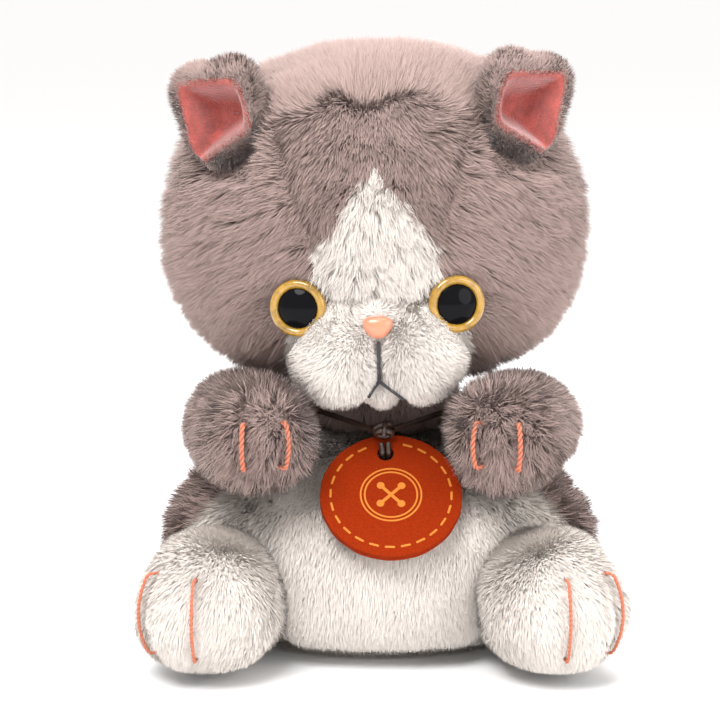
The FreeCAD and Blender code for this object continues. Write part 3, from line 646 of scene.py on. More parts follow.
def build_head():
    points, faces = head_surface(HEAD_GRID)
    normals = vertex_normals(points, faces)
    regions = head_regions(points[faces].mean(axis=1))
    pile, comb = head_pile_fields(points, normals)
    rolled = apply_matrix(roll_matrix(), points)
    turn = np.array(roll_matrix().to_3x3())
    comb = comb @ turn.T
    looks = {
        "muzzle": dict(density=1.6, clump=0.18, clump_size=0.003, stray=0.35, width=0.85, seed=1),
        "blaze": dict(density=1.4, clump=0.25, clump_size=0.004, stray=0.4, width=0.9, seed=2),
        "crown": dict(density=1.6, clump=0.12, clump_size=0.0035, stray=0.3, width=0.9, seed=3),
        "head_back": dict(density=0.65, width=1.1, seed=4),
        "head_side_left": dict(density=1.0, clump=0.34, clump_size=0.0055, stray=0.42, seed=5),
        "head_side_right": dict(density=1.0, clump=0.34, clump_size=0.0055, stray=0.42, seed=6),
    }
    for name, (keep, colour, nodes) in regions.items():
        part_points, part_faces, values = cut_out(rolled, faces, keep, {"comb": comb, "pile": pile})
        plush_piece(name + "_plush", part_points, part_faces, values["comb"], values["pile"], colour,
                    nodes, "head", **looks[name])


def mouth_gap(x, z):
    """Distance in the face's plane to the mouth's stem and its two branches."""
    place = np.stack([x, z], -1)
    nearest = np.full(len(x), 99.0)
    for start, end in MOUTH_LINES:
        start, end = np.array(start), np.array(end)
        along = end - start
        share = np.clip((place - start) @ along / (along @ along), 0, 1)
        nearest = np.minimum(nearest, np.linalg.norm(place - start - share[:, None] * along, axis=1))
    return nearest


def head_pile_fields(points, normals):
    """Length and lean of the pile all over the head."""
    x, y, z = points.T
    long_pile = settings().head_pile / MM
    front = ease(-y, 14, 24)
    muzzle = front * ease(1.0 - np.sqrt((x / 23.0) ** 2 + ((z - 79) / 16.0) ** 2), -0.12, 0.12)
    muzzle = muzzle * ease(95.5 - z, 0, 2)
    pile = long_pile * (1 - 0.52 * muzzle)
    nose_apart = np.hypot(x, z - 86.0)
    pile = pile * (1 - 0.45 * front * bump(nose_apart, 5.5))
    pile = pile * (1 - 0.75 * front * bump(mouth_gap(x, z), 2.0))
    away = np.zeros_like(points)
    for spot in eye_spots().values():
        apart = np.hypot(x - spot[0], z - spot[2])
        near = bump(np.maximum(apart - 7.0, 0), 3.8) * front
        above = ease(z - spot[2], 1, 6)
        pile = pile * (1 - (0.80 - 0.50 * above) * near)
        out = unit(np.stack([x - spot[0], 0 * x, z - spot[2]], -1))
        away += out * (bump(np.maximum(apart - 7.5, 0), 3.5) * front * (0.8 - 0.7 * above))[:, None]
    sideways = np.sign(x) * ease(np.abs(x), 3, 14)
    gusset = 1 - ease(np.abs(x) - gusset_half(z), -2, 3)
    gusset = np.maximum(gusset, 0) * ease(-y, -24, -10)
    side_wish = np.stack([0.55 * sideways, 0.25 + 0 * x, -0.55 + 0 * x], -1)
    crown_wish = np.stack([0.35 * sideways, -0.75 + 0 * x, -0.75 + 0 * x], -1)
    swept_back = ease(y + 3.0 * lumps(points, 16.0, 9), -28.5, -25.5) * ease(z, 128, 136)
    back_wish = np.stack([0.3 * sideways, 0.95 + 0 * x, 0 * x], -1)
    wish = side_wish * (1 - gusset)[:, None] + crown_wish * gusset[:, None]
    wish = wish * (1 - swept_back * gusset)[:, None] + back_wish * (swept_back * gusset)[:, None]
    blaze = front * ease(125 - z, 0, 6) * ease(16 - np.abs(x), 0, 4)
    wish = wish * (1 - blaze)[:, None] + np.array([0.0, 0.0, -0.6]) * blaze[:, None]
    for side in SIDES.values():
        across, deep, _ = apply_matrix(ear_matrix(side).inverted(), points).T
        foot = ease(1.15 - np.hypot(across / 10.5, (deep + 0.5) / 7.0), 0, 0.25)
        under_ear = foot * (x * side > 0) * (z > 120)
        pile = pile * (1 - 0.85 * under_ear)
    out = unit(np.stack([x * 1.2, 0 * x, z - 88.0], -1)) * 0.5
    wish = wish * (1 - muzzle)[:, None] + out * muzzle[:, None]
    return pile, comb_field(points, normals, wish + away)


class PLUSH_OT_head(Operator):
    """Cover of the head: side, crown, back, blaze and muzzle panels with their pile"""
    bl_idname = "plush_cat.head"
    bl_label = "Head"

    def execute(self, context):
        build_head()
        return {"FINISHED"}


# ---------------------------------------------------------------- ears

EAR_BASE = np.array([35.2, -22.0, 129.0])
EAR_YAW = 28.0
EAR_LEAN = 12.0
EAR_HALF = np.array([10.0, 6.5, 11.8])
EAR_MOUTH = [(0.84, 0.84), (0.78, -0.86), (-0.86, -0.42), (-0.84, 0.62)]


def ear_matrix(side):
    """Ear standing on the head, in the unrolled head's millimetres."""
    yaw = Matrix.Rotation(radians(EAR_YAW * side), 4, "Z")
    tip = Matrix.Rotation(radians(-4.0), 4, "X")
    lean = Matrix.Rotation(radians(EAR_LEAN * side), 4, "Y")
    return Matrix.Translation(Vector(EAR_BASE * np.array([side, 1, 1]))) @ yaw @ tip @ lean


def hollow_edge(outward, up):
    """Signed distance to the rounded four-sided mouth of the ear's cup, below zero inside it."""
    nearest = None
    for (x0, z0), (x1, z1) in zip(EAR_MOUTH, EAR_MOUTH[1:] + EAR_MOUTH[:1]):
        length = sqrt((x1 - x0) ** 2 + (z1 - z0) ** 2)
        gap = ((up - z0) * (x1 - x0) - (outward - x0) * (z1 - z0)) / length
        nearest = gap if nearest is None else smooth_max(nearest, gap, 0.11)
    return nearest


def ear_surface(side, count):
    """Cupped ear in its own place: squarish, hollow in front, its outer corner drawn up and out."""
    directions, faces = quad_sphere(count)
    x, y, z = directions.T
    squarish = 1 + 0.30 * (2 * np.abs(x * z)) * ease(z, -0.2, 0.6)
    across, up = x * squarish, z * squarish
    edge = hollow_edge(across * side, up)
    in_front = y < 0
    crest = 0.55 * bump(np.maximum(edge - 0.10, 0) + np.maximum(0.02 - edge, 0) * 1.2, 0.28)
    dish = 0.85 * ease(-edge, -0.05, 0.50)
    depth = np.where(in_front, -crest * (1 - 0.5 * ease(-edge, 0, 0.4)) + dish + 0.3 * y,
                     np.maximum(y, 0) * 1.15 + 0.05)
    points = np.stack([(across + 0.10 * ease(up, 0.0, 1.0) * side) * EAR_HALF[0], depth * EAR_HALF[1],
                       EAR_HALF[2] * (up + 0.55)], -1)
    return points, faces, edge, in_front


def build_ears():
    for name, side in SIDES.items():
        points, faces, edge, in_front = ear_surface(side, 40)
        matrix = roll_matrix() @ ear_matrix(side)
        placed = apply_matrix(matrix, points)
        face_edge, face_front = edge[faces].mean(axis=1), in_front[faces].all(axis=1)
        lining = face_front & (face_edge < 0)
        normals = vertex_normals(points, faces)
        pile = np.where(in_front, 1.5 + 0.9 * ease(edge, 0.02, 0.2), 2.6)
        wish = np.stack([0 * edge, np.where(in_front, -0.1, 0.1), np.where(in_front, 0.3, 0.35)], -1)
        comb = comb_field(points, normals, wish) @ np.array(matrix.to_3x3()).T
        back = cut_out(placed, faces, ~lining, {"comb": comb, "pile": pile})
        plush_piece("ear_back_%s_plush" % name, back[0], back[1], back[2]["comb"], back[2]["pile"], "grey",
                    ["ear_back_" + name], "ear_" + name, density=1.7, clump=0.16, clump_size=0.003,
                    stray=0.35, width=0.75, seed=20 + side)
        front = cut_out(placed, faces, face_front & (face_edge < 0.08), {})
        mesh = mesh_from("ear_lining_cloth_" + name, front[0], front[1])
        mesh.materials.append(FINISHES["coral"])
        cloth = new_object("ear_lining_cloth_" + name, mesh)
        thick = cloth.modifiers.new("thickness", "SOLIDIFY")
        thick.thickness = 0.5 * MM
        thick.offset = 1.0
        apply_modifiers(cloth)
        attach(cloth, "ear_" + name)
        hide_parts("ear_lining_" + name)


def apply_modifiers(piece):
    shown = piece.evaluated_get(bpy.context.evaluated_depsgraph_get())
    plain = bpy.data.meshes.new_from_object(shown)
    piece.modifiers.clear()
    piece.data = plain


class PLUSH_OT_ears(Operator):
    """Both ears: a cupped plush back and a knitted lining"""
    bl_idname = "plush_cat.ears"
    bl_label = "Ears"

    def execute(self, context):
        build_ears()
        return {"FINISHED"}


# ---------------------------------------------------------------- trunk, neck and limbs

TRUNK_HALF = np.array([58.0, 47.0])
TRUNK_TOP, TRUNK_WIDEST_Z, TRUNK_Y = 59.0, 27.0, -4.0
TRUNK_BASE_SHARE = 36.0 / 58.0
TRUNK_SINK = 5.0
SIDE_SEAM_Y, BASE_SEAM_Z = -22.0, 3.0
LIMBS = {
    "arm": dict(start=(38.0, -8.0, 54.5), start_radius=12.5, end=(31.5, -45.5, 57.0), end_radius=13.5,
                colour="grey", threads=(-40.0, 12.0), span=60.0, thread="paw_thread",
                sink=4.2, pile=1.0, floss=0.33,
                swell=(0.28, 0.0, 0.22), shift=(-1.3, 0.0, 1.8)),
    "leg": dict(start=(38.0, -35.0, 17.3), start_radius=17.0, end=(42.0, -49.0, 18.2), end_radius=19.2,
                colour="white", threads=(8.0, 58.0), span=75.0, thread="foot_thread",
                sink=2.6, pile=0.62, floss=0.25,
                swell=(0.0, 0.0, 0.0), shift=(0.0, 0.0, 0.0)),
}
TAIL = dict(start=(0.0, 40.0, 15.0), start_radius=7.0, end=(0.0, 58.0, 24.0), end_radius=6.0)
TAIL_SINK, TAIL_PILE = 3.0, 5.5
NECK_CENTRE, NECK_HALF, NECK_PILE = (0.0, -2.0, 61.0), (19.0, 15.0, 9.0), 3.5
TRUNK_TURNS, TRUNK_LEVELS = 150, 46
TRUNK_FLOOR = 0.3
THREAD_POINTS = 60


def trunk_share(z):
    """Share of the trunk's widest half width at a height."""
    rise = np.clip((z - TRUNK_WIDEST_Z) / (TRUNK_TOP - TRUNK_WIDEST_Z), 0, 1)
    drop = np.clip((TRUNK_WIDEST_Z - z) / TRUNK_WIDEST_Z, 0, 1)
    upper = (1.0 - rise ** 1.75) ** 0.54
    lower = TRUNK_BASE_SHARE + (1 - TRUNK_BASE_SHARE) * np.sqrt(1 - drop ** 2)
    return np.where(z > TRUNK_WIDEST_Z, upper, lower)


def capsule_gap(points, start, start_radius, end, end_radius):
    """Distance from points to the surface of a tapered capsule."""
    start, end = np.array(start), np.array(end)
    axis = end - start
    share = np.clip((points - start) @ axis / (axis @ axis), 0, 1)
    centre = start + share[:, None] * axis
    return np.linalg.norm(points - centre, axis=1) - (start_radius + share * (end_radius - start_radius))


def limb_gap(points):
    """Distance from points to the nearest arm, leg or tail."""
    gaps = [capsule_gap(points, **TAIL)]
    for limb in LIMBS.values():
        for side in SIDES.values():
            flip = np.array([side, 1, 1])
            gaps.append(capsule_gap(points, limb["start"] * flip, limb["start_radius"],
                                    limb["end"] * flip, limb["end_radius"]))
    return np.minimum.reduce(gaps)


def trunk_surface():
    """Backing of the trunk as rings from its floor to its top."""
    turns, low = TRUNK_TURNS, TRUNK_FLOOR
    top = TRUNK_TOP - TRUNK_SINK
    heights = top - (top - low) * (1 - np.linspace(0, 1, TRUNK_LEVELS))
    shrink = (TRUNK_HALF[0] - TRUNK_SINK) / TRUNK_HALF[0]
    base_shares = (0.3, 0.6, 0.85)
    points = [(0.0, TRUNK_Y, low)]
    for share in base_shares:
        points += ring_points(trunk_share(np.array(low)) * share, low, turns)
    for height in heights:
        grown = low + (height - low) * (TRUNK_TOP - low) / (top - low)
        share = float(trunk_share(np.array(min(grown, TRUNK_TOP - 0.05))))
        points += ring_points(share * shrink, height, turns)
    points.append((0.0, TRUNK_Y, top))
    rings = TRUNK_LEVELS + len(base_shares)
    faces = []
    for ring in range(rings - 1):
        faces += ring_faces(1 + ring * turns, turns)
    last = 1 + (rings - 1) * turns
    caps = [(0, 1 + (step + 1) % turns, 1 + step, 1 + step) for step in range(turns)]
    caps += [(len(points) - 1, last + step, last + (step + 1) % turns, last + (step + 1) % turns)
             for step in range(turns)]
    return np.array(points), np.array(faces), caps


def ring_faces(start, turns):
    """Quads between two rings of points, of which the first begins at start."""
    quads = []
    for step in range(turns):
        after = (step + 1) % turns
        quads.append((start + step, start + after, start + turns + after, start + turns + step))
    return quads


def ring_points(share, height, turns):
    """Ring of the trunk's outline at a height, at a share of its widest."""
    angles = np.linspace(0, 2 * pi, turns, endpoint=False)
    return [(TRUNK_HALF[0] * share * cos(angle), TRUNK_Y + TRUNK_HALF[1] * share * sin(angle), height)
            for angle in angles]


def build_trunk():
    points, faces, caps = trunk_surface()
    triangles = [tuple(dict.fromkeys(face)) for face in caps]
    normals = vertex_normals(points, list(map(tuple, faces)) + triangles)
    x, y, z = points.T
    white_front = ease(SIDE_SEAM_Y - y, -2, 4)
    inward = 1.4 * (1 + lumps(points, 34.0, 5)) * ease(z, 2, 12) - 2.6 * white_front * ease(z, 2, 12)
    crease = 1.6 * bump(y - SIDE_SEAM_Y, 1.8) * ease(z, 4, 10)
    hem = 1.0 * bump(z - 7.0, 2.0)
    points = points - normals * (inward * 0.5 + crease + hem)[:, None]
    bib = ease(30 - np.abs(x), -2, 3) * ease(z, 38, 45) * ease(6 - y, 0, 4)
    short = np.maximum(white_front, bib)
    gap = limb_gap(points)
    long_pile = settings().trunk_pile / MM
    pile = long_pile * (0.18 + 0.82 * ease(gap, -2.5, 3.0)) * (1 - 0.38 * short)
    pile = pile * (0.25 + 0.75 * ease(z, 0.5, 9)) * (1 - 0.55 * ease(z, 50, 54))
    pile = np.where(normals[:, 2] < -0.6, 1.2, pile)
    centre = np.stack([0 * x, -0.18 - 0.3 * bib, -0.42 - 0.2 * bib], -1) * (1 + 1.3 * short)[:, None]
    flare = ease(9 - z, 0, 9)
    wish = centre * (1 - flare)[:, None] + np.array([0.0, 0.0, 0.9]) * flare[:, None]
    comb = comb_field(points, normals, wish)
    mid = points[faces].mean(axis=1)
    bottom = mid[:, 2] < BASE_SEAM_Z
    chest = (np.abs(mid[:, 0]) < 30) & (mid[:, 2] > 44) & (mid[:, 1] < 4)
    front = ~bottom & ((mid[:, 1] < SIDE_SEAM_Y) | chest)
    values = {"comb": comb, "pile": pile}
    sections = (
        ("belly", front, [], "white", ["belly_panel"],
         dict(density=1.7, clump=0.10, clump_size=0.0035, stray=0.22, width=0.95, seed=31)),
        ("back", ~bottom & ~front, caps[len(caps) // 2:], "grey",
         ["back_panel", "body_stuffing", "pellet_bag"],
         dict(density=0.62, clump=0.4, clump_size=0.005, width=1.1, seed=32)),
        ("base", bottom, caps[:len(caps) // 2], "white", ["base_panel"],
         dict(density=0.2, clump=0.2, clump_size=0.004, stray=0.4, width=1.4, seed=33)),
    )
    for name, keep, cap, colour, nodes, looks in sections:
        chosen = faces[keep] if not cap else np.vstack([faces[keep], np.array(cap)])
        used, back = np.unique(chosen, return_inverse=True)
        part = [tuple(dict.fromkeys(face)) for face in back.reshape(chosen.shape).tolist()]
        plush_piece(name + "_plush", points[used], part, comb[used], pile[used], colour, nodes,
                    "trunk", **looks)


def build_neck():
    directions, faces = quad_sphere(14)
    points = np.array(NECK_CENTRE) + directions * np.array(NECK_HALF)
    normals = vertex_normals(points, faces)
    comb = comb_field(points, normals, (0, 0, -0.5))
    # Grey pile all round, also in front where the belly's white runs up: painted shade of the shadow under
    # the head.
    plush_piece("neck_shaded_grey_plush", points, faces, comb, np.full(len(points), NECK_PILE), "grey",
                ["neck_stuffing"], "neck", density=0.7, seed=41)


def capsule_surface(start, start_radius, end, end_radius, sink, turns=56):
    """Backing of a tapered capsule in place, shrunk by sink."""
    start, end = np.array(start, float), np.array(end, float)
    length = np.linalg.norm(end - start)
    low, high = start_radius - sink, end_radius - sink
    profile = arc_profile((0, 0), low, -90, 0, 12) + [(low + (high - low) * share, length * share)
                                                     for share in np.linspace(0.1, 0.9, 9)]
    profile += arc_profile((0, length), high, 0, 90, 16)
    profile = [(max(radius, 0.0), height) for radius, height in profile]
    points, faces = lathe(profile, turns)
    return apply_matrix(frame_to(start, end - start), points), faces


def thread_gap(points, centre, radius, yaw, span):
    """Distance from points, taken near a ball, to a claw thread laid over it."""
    path = thread_path(centre, radius, yaw, span, 24)
    return np.min(np.linalg.norm(points[:, None] - path[None], axis=2), axis=1)


def thread_path(centre, radius, yaw, span, steps):
    angles = np.radians(np.linspace(-span / 2, span / 2, steps))
    turn = radians(yaw)
    flat = np.array([sin(turn), -cos(turn), 0.0])
    return np.array(centre) + radius * (np.cos(angles)[:, None] * flat + np.sin(angles)[:, None] * [0, 0, 1])


def path_frames(path):
    """Two directions across a path at each of its points, which turn as little as they can."""
    ahead = unit(np.gradient(path, axis=0))
    side = np.cross(ahead[0], [0.3, 0.5, 0.8])
    across = []
    for direction in ahead:
        side = unit(side - direction * (side @ direction))
        across.append(side)
    across = np.array(across)
    return across, np.cross(ahead, across)


def tube_along(path, radius, sides=8):
    """Points and faces of a round tube on a path, with closed ends."""
    path = np.asarray(path, float)
    points, faces = [], []
    for place, side, other in zip(path, *path_frames(path)):
        for step in range(sides):
            angle = 2 * pi * step / sides
            points.append(place + radius * (cos(angle) * side + sin(angle) * other))
    for ring in range(len(path) - 1):
        faces += ring_faces(ring * sides, sides)
    faces.append(tuple(reversed(range(sides))))
    faces.append(tuple(range((len(path) - 1) * sides, len(path) * sides)))
    return points, faces


def twisted(path, strand, lay, count=2):
    """Strands laid round a path, as points and faces; strand is their radius, lay the length of a turn."""
    path = np.asarray(path, float)
    walked = np.concatenate([[0], np.cumsum(np.linalg.norm(np.diff(path, axis=0), axis=1))])
    sides, others = path_frames(path)
    points, faces = [], []
    for number in range(count):
        angle = (2 * pi * walked / lay + 2 * pi * number / count)[:, None]
        line = path + strand * 0.95 * (np.cos(angle) * sides + np.sin(angle) * others)
        more_points, more_faces = tube_along(line, strand)
        faces += [tuple(corner + len(points) for corner in face) for face in more_faces]
        points += more_points
    return points, faces


def solid_piece(name, points, faces, finish, nodes, body, slot, smooth=True):
    """Plain closed piece in a finish, standing for CAD nodes."""
    mesh = mesh_from(name, points, faces, smooth)
    mesh.materials.append(FINISHES[finish])
    piece = new_object(name, mesh)
    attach(piece, body)
    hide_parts(*nodes)


def build_limb(kind, name, side):
    limb = LIMBS[kind]
    flip = np.array([side, 1, 1])
    start, end = limb["start"] * flip, limb["end"] * flip
    points, faces = capsule_surface(start, limb["start_radius"], end, limb["end_radius"], limb["sink"])
    normals = vertex_normals(points, faces)
    points = points - normals * (0.55 * (1 + lumps(points, 22.0, 8 + side)))[:, None]
    pile = np.full(len(points), settings().limb_pile / MM * limb["pile"])
    share = ease((points - start) @ unit(end - start), -4, 12)
    points = points + (points - end) * (np.array(limb["swell"]) * share[:, None])
    points = points + limb["shift"] * flip * share[:, None]
    for yaw in limb["threads"]:
        gap = thread_gap(points, end + limb["shift"] * flip, limb["end_radius"] - limb["sink"],
                         yaw * side, limb["span"])
        points = points - normals * (1.3 * bump(gap, 2.4))[:, None]
        pile = pile * (1 - 0.5 * bump(gap, 1.6))
    wish = np.array([0.20 * side, -0.20, -0.55]) * share[:, None]
    if kind == "leg":
        wish = wish * 1.9
    comb = comb_field(points, normals, wish)
    if kind == "leg":
        pile = pile * np.where(points[:, 2] < 2.0, 0.2, 0.35 + 0.65 * ease(points[:, 2], 1.5, 9))
        comb = comb + np.array([0, 0, 0.7]) * ease(7 - points[:, 2], 0, 6)[:, None]
        points[:, 2] = np.maximum(points[:, 2], 0.4)
    looks = dict(density=1.15, clump=0.5, clump_size=0.0040, stray=0.7, width=0.9)
    if kind == "leg":
        looks = dict(density=1.7, clump=0.09, clump_size=0.0034, stray=0.2, width=0.95)
    body = kind + "_" + name
    plush_piece("%s_%s_plush" % (kind, name), points, faces, comb, pile, limb["colour"],
                [kind + "_cover_" + name, kind + "_stuffing_" + name], body, seed=50 + side, **looks)
    for place, yaw in zip(("inner", "outer"), limb["threads"]):
        path = thread_path(end + limb["shift"] * flip, limb["end_radius"] - 0.5, yaw * side,
                           limb["span"], THREAD_POINTS)
        steps = np.arange(THREAD_POINTS)
        ends = np.minimum(steps, THREAD_POINTS - 1 - steps)
        path = path - unit(path - end) * (2.6 * bump(ends, 3.0))[:, None]
        node = "%s_%s_%s" % (limb["thread"], name, place)
        solid_piece(node + "_floss", *twisted(path, limb["floss"], limb["floss"] * 9),
                    "salmon_thread", [node], body, "salmon_thread")


def build_tail():
    points, faces = capsule_surface(**TAIL, sink=TAIL_SINK, turns=40)
    normals = vertex_normals(points, faces)
    comb = comb_field(points, normals, np.array(TAIL["end"]) - np.array(TAIL["start"])) * 0.02
    plush_piece("tail_plush", points, faces, comb, np.full(len(points), TAIL_PILE), "grey",
                ["tail_cover", "tail_stuffing"], "tail", density=1.0, clump=0.45, seed=60)


class PLUSH_OT_trunk(Operator):
    """Cover of the trunk: belly, back and base panels, with the neck between it and the head"""
    bl_idname = "plush_cat.trunk"
    bl_label = "Trunk and Neck"

    def execute(self, context):
        build_trunk()
        build_neck()
        return {"FINISHED"}


class PLUSH_OT_limbs(Operator):
    """Arms, legs and tail, with the claw threads laid over paws and feet"""
    bl_idname = "plush_cat.limbs"
    bl_label = "Limbs and Tail"

    def execute(self, context):
        for kind in LIMBS:
            for name, side in SIDES.items():
                build_limb(kind, name, side)
        build_tail()
        return {"FINISHED"}


# ---------------------------------------------------------------- eyes, nose and mouth

EYE_RADIUS = 7.0
PUPIL_RADIUS = 5.0
EYE_YAW = 14.0
EYE_FORWARD = 0.6
EYE_TURNS = 96
RING_BORE, RING_BACK, RING_FACE = PUPIL_RADIUS - 0.3, -2.2, 0.35
BEAD_CENTRE, BEAD_RADIUS = (5.95, 0.15), 1.05
DOME_RADIUS, DOME_BACK = PUPIL_RADIUS - 0.1, -1.8
DOME_LIFT, DOME_RISE = 0.45, 1.5


def build_eyes():
    for name, side in SIDES.items():
        yaw = radians(EYE_YAW * side)
        direction = np.array(roll_matrix().to_3x3()) @ np.array([sin(yaw), -cos(yaw), 0.0])
        centre = node_centre("eye_pupil_" + name) + direction * EYE_FORWARD
        place = frame_to(centre, direction)
        ring = [(RING_BORE, RING_BACK), (RING_BORE, RING_FACE)]
        ring += arc_profile(BEAD_CENTRE, BEAD_RADIUS, 165, 0, 16)
        ring += [(EYE_RADIUS, RING_BACK), (RING_BORE, RING_BACK)]
        points, faces = lathe(ring, EYE_TURNS)
        inward = [tuple(reversed(face)) for face in faces]
        solid_piece("eye_ring_" + name, apply_matrix(place, points), inward,
                    "mustard", ["eye_rim_" + name], "head", "mustard_moulding")
        dome = [(0.0, DOME_BACK), (DOME_RADIUS, DOME_BACK), (DOME_RADIUS, RING_FACE)]
        sphere = (PUPIL_RADIUS ** 2 + DOME_RISE ** 2) / (2 * DOME_RISE)
        start = np.degrees(np.arccos(DOME_RADIUS / sphere))
        dome += arc_profile((0, DOME_LIFT + DOME_RISE - sphere), sphere, start, 90, 18)
        closed = [(radius if radius > 1e-4 else 0.0, height) for radius, height in dome]
        points, faces = lathe(closed, EYE_TURNS)
        solid_piece("eye_dome_" + name, apply_matrix(place, points), faces,
                    "black", ["eye_pupil_" + name], "head", "black_moulding")


def build_nose():
    directions, faces = quad_sphere(24)
    x, y, z = directions.T
    wide = 3.45 * (1 + 0.28 * z)
    points = np.stack([np.sign(x) * np.abs(x) ** 0.86 * wide, y * 2.0,
                       np.sign(z) * np.abs(z) ** 0.9 * 2.5 - 0.45 * (1 - x ** 2) * (z < 0)], -1)
    low, high = node_box("nose")
    centre = np.array([(low[0] + high[0]) / 2, low[1] + 2.0, (low[2] + high[2]) / 2])
    place = Matrix.Translation(Vector(centre)) @ Matrix.Rotation(radians(-HEAD_ROLL), 4, "Y")
    solid_piece("nose_button", apply_matrix(place, points), faces, "salmon", ["nose"], "head",
                "salmon_moulding")


class PLUSH_OT_face(Operator):
    """Moulded eyes and nose, and the finishes of the mouth thread and the washers"""
    bl_idname = "plush_cat.face"
    bl_label = "Eyes and Nose"

    def execute(self, context):
        build_eyes()
        build_nose()
        for name, finish in (("mouth_thread", "grey_thread"), ("nose_washer", "plastic"),
                             ("eye_washer_left", "plastic"), ("eye_washer_right", "plastic")):
            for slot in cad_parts[name].material_slots:
                slot.material = FINISHES[finish]
        return {"FINISHED"}


# ---------------------------------------------------------------- tag and cord

TAG_CENTRE = (2.6, -43.4, 43.6)
TAG_RADIUS = 17.3
TAG_LAYER = 1.1
TAG_HOLE = (0.0, 12.0)
TAG_HOLE_RADIUS = 2.0
TAG_SLOPE, TAG_LEAN = 45.0, 6.0
TAG_EDGE_ROUND = 0.22
TAG_OUTLINE_POINTS = 160
PRINT_LOW, PRINT_HIGH = -0.05, 0.07
PRINT_RINGS, PRINT_LINE = (7.6, 6.6), 0.42
CROSS_ANGLES, CROSS_LENGTH, CROSS_WIDTH = (38, 128), 7.4, 0.8
DOT_FROM_CENTRE, DOT_RADIUS = 3.6, 0.95
KNOT_TURNS = ((0.95, 2.15, 0.35), (-0.85, 1.95, -0.3))
KNOT_STRAND, KNOT_TOP_STRAND, LOOP_STRAND = 0.8, 0.75, 0.72
LOOP_SPREAD = 0.77
KNOT_FROM_CENTRE, KNOT_PROUD = 17.0, 3.7
DASH_RADIUS, DASH_LENGTH, DASH_WIDTH, DASHES = 14.7, 2.5, 0.55, 24
CORD_DIAMETER = 1.5
CORD_ROUTE = [
    (-1.8, -33.7, 58.4), (-12.5, -25.0, 60.4), (-20.6, -10.5, 60.0), (-21.4, 4.5, 58.8),
    (-13.0, 16.5, 58.0), (0.6, 20.4, 57.7), (13.6, 16.2, 58.0), (21.6, 4.0, 58.8),
    (20.8, -11.0, 59.8), (13.6, -24.6, 60.0), (3.2, -33.6, 58.3),
]


def tag_matrix():
    """Tag's own frame: Y up its slope, Z out of its face."""
    slope, lean = radians(TAG_SLOPE), radians(TAG_LEAN)
    face = (0.0, -sin(slope), cos(slope))
    up = (-sin(lean), cos(lean) * cos(slope), cos(lean) * sin(slope))
    return frame_to(TAG_CENTRE, face, up)


def plate(outline, low, high, hole=None):
    """Flat plate with square edges from an outline; hole is (centre, radius)."""
    count = len(outline)
    points = [(x, y, low) for x, y in outline] + [(x, y, high) for x, y in outline]
    sides = [(step, (step + 1) % count, (step + 1) % count + count, step + count) for step in range(count)]
    if hole is None:
        return np.array(points), [tuple(reversed(range(count))), tuple(range(count, 2 * count))] + sides
    centre, radius = hole
    start = len(points)
    for height in (low, high):
        for x, y in outline:
            angle = atan2(y - centre[1], x - centre[0])
            points.append((centre[0] + radius * cos(angle), centre[1] + radius * sin(angle), height))
    faces = list(sides)
    for step in range(count):
        after = (step + 1) % count
        faces.append((after, step, start + step, start + after))
        faces.append((count + step, count + after, start + count + after, start + count + step))
        faces.append((start + after, start + step, start + count + step, start + count + after))
    return np.array(points), faces


def circle(radius, count=96, centre=(0.0, 0.0)):
    angles = np.linspace(0, 2 * pi, count, endpoint=False)
    return [(centre[0] + radius * cos(angle), centre[1] + radius * sin(angle)) for angle in angles]


def bar(centre, angle, length, width):
    """Rounded bar as an outline."""
    outline = []
    for end in (1, -1):
        for step in range(7):
            turn = -pi / 2 + pi * step / 6
            x = end * (length / 2 - width / 2) + end * width / 2 * cos(turn)
            y = end * width / 2 * sin(turn)
            outline.append((centre[0] + x * cos(angle) - y * sin(angle),
                            centre[1] + x * sin(angle) + y * cos(angle)))
    return outline


def merged(parts):
    points, faces = [], []
    for more_points, more_faces in parts:
        faces += [tuple(corner + len(points) for corner in face) for face in more_faces]
        points += [tuple(point) for point in more_points]
    return np.array(points), faces


def print_shapes():
    """Dash ring, two circles, and a cross with a dot at each end."""
    low, high = TAG_LAYER + PRINT_LOW, TAG_LAYER + PRINT_HIGH
    parts = []
    for number in range(DASHES):
        angle = 2 * pi * (number + 0.5) / DASHES
        if abs(angle - pi / 2) < 0.2:
            continue
        centre = (DASH_RADIUS * cos(angle), DASH_RADIUS * sin(angle))
        parts.append(plate(bar(centre, angle + pi / 2, DASH_LENGTH, DASH_WIDTH), low, high))
    for radius in PRINT_RINGS:
        parts.append(plate(circle(radius), low, high, ((0.0, 0.0), radius - PRINT_LINE)))
    for angle in np.radians(CROSS_ANGLES):
        parts.append(plate(bar((0, 0), angle, CROSS_LENGTH, CROSS_WIDTH), low, high + 0.01 * cos(angle)))
        for end in (1, -1):
            centre = (end * DOT_FROM_CENTRE * cos(angle), end * DOT_FROM_CENTRE * sin(angle))
            parts.append(plate(circle(DOT_RADIUS, 28, centre), low, high + 0.02))
    return merged(parts)


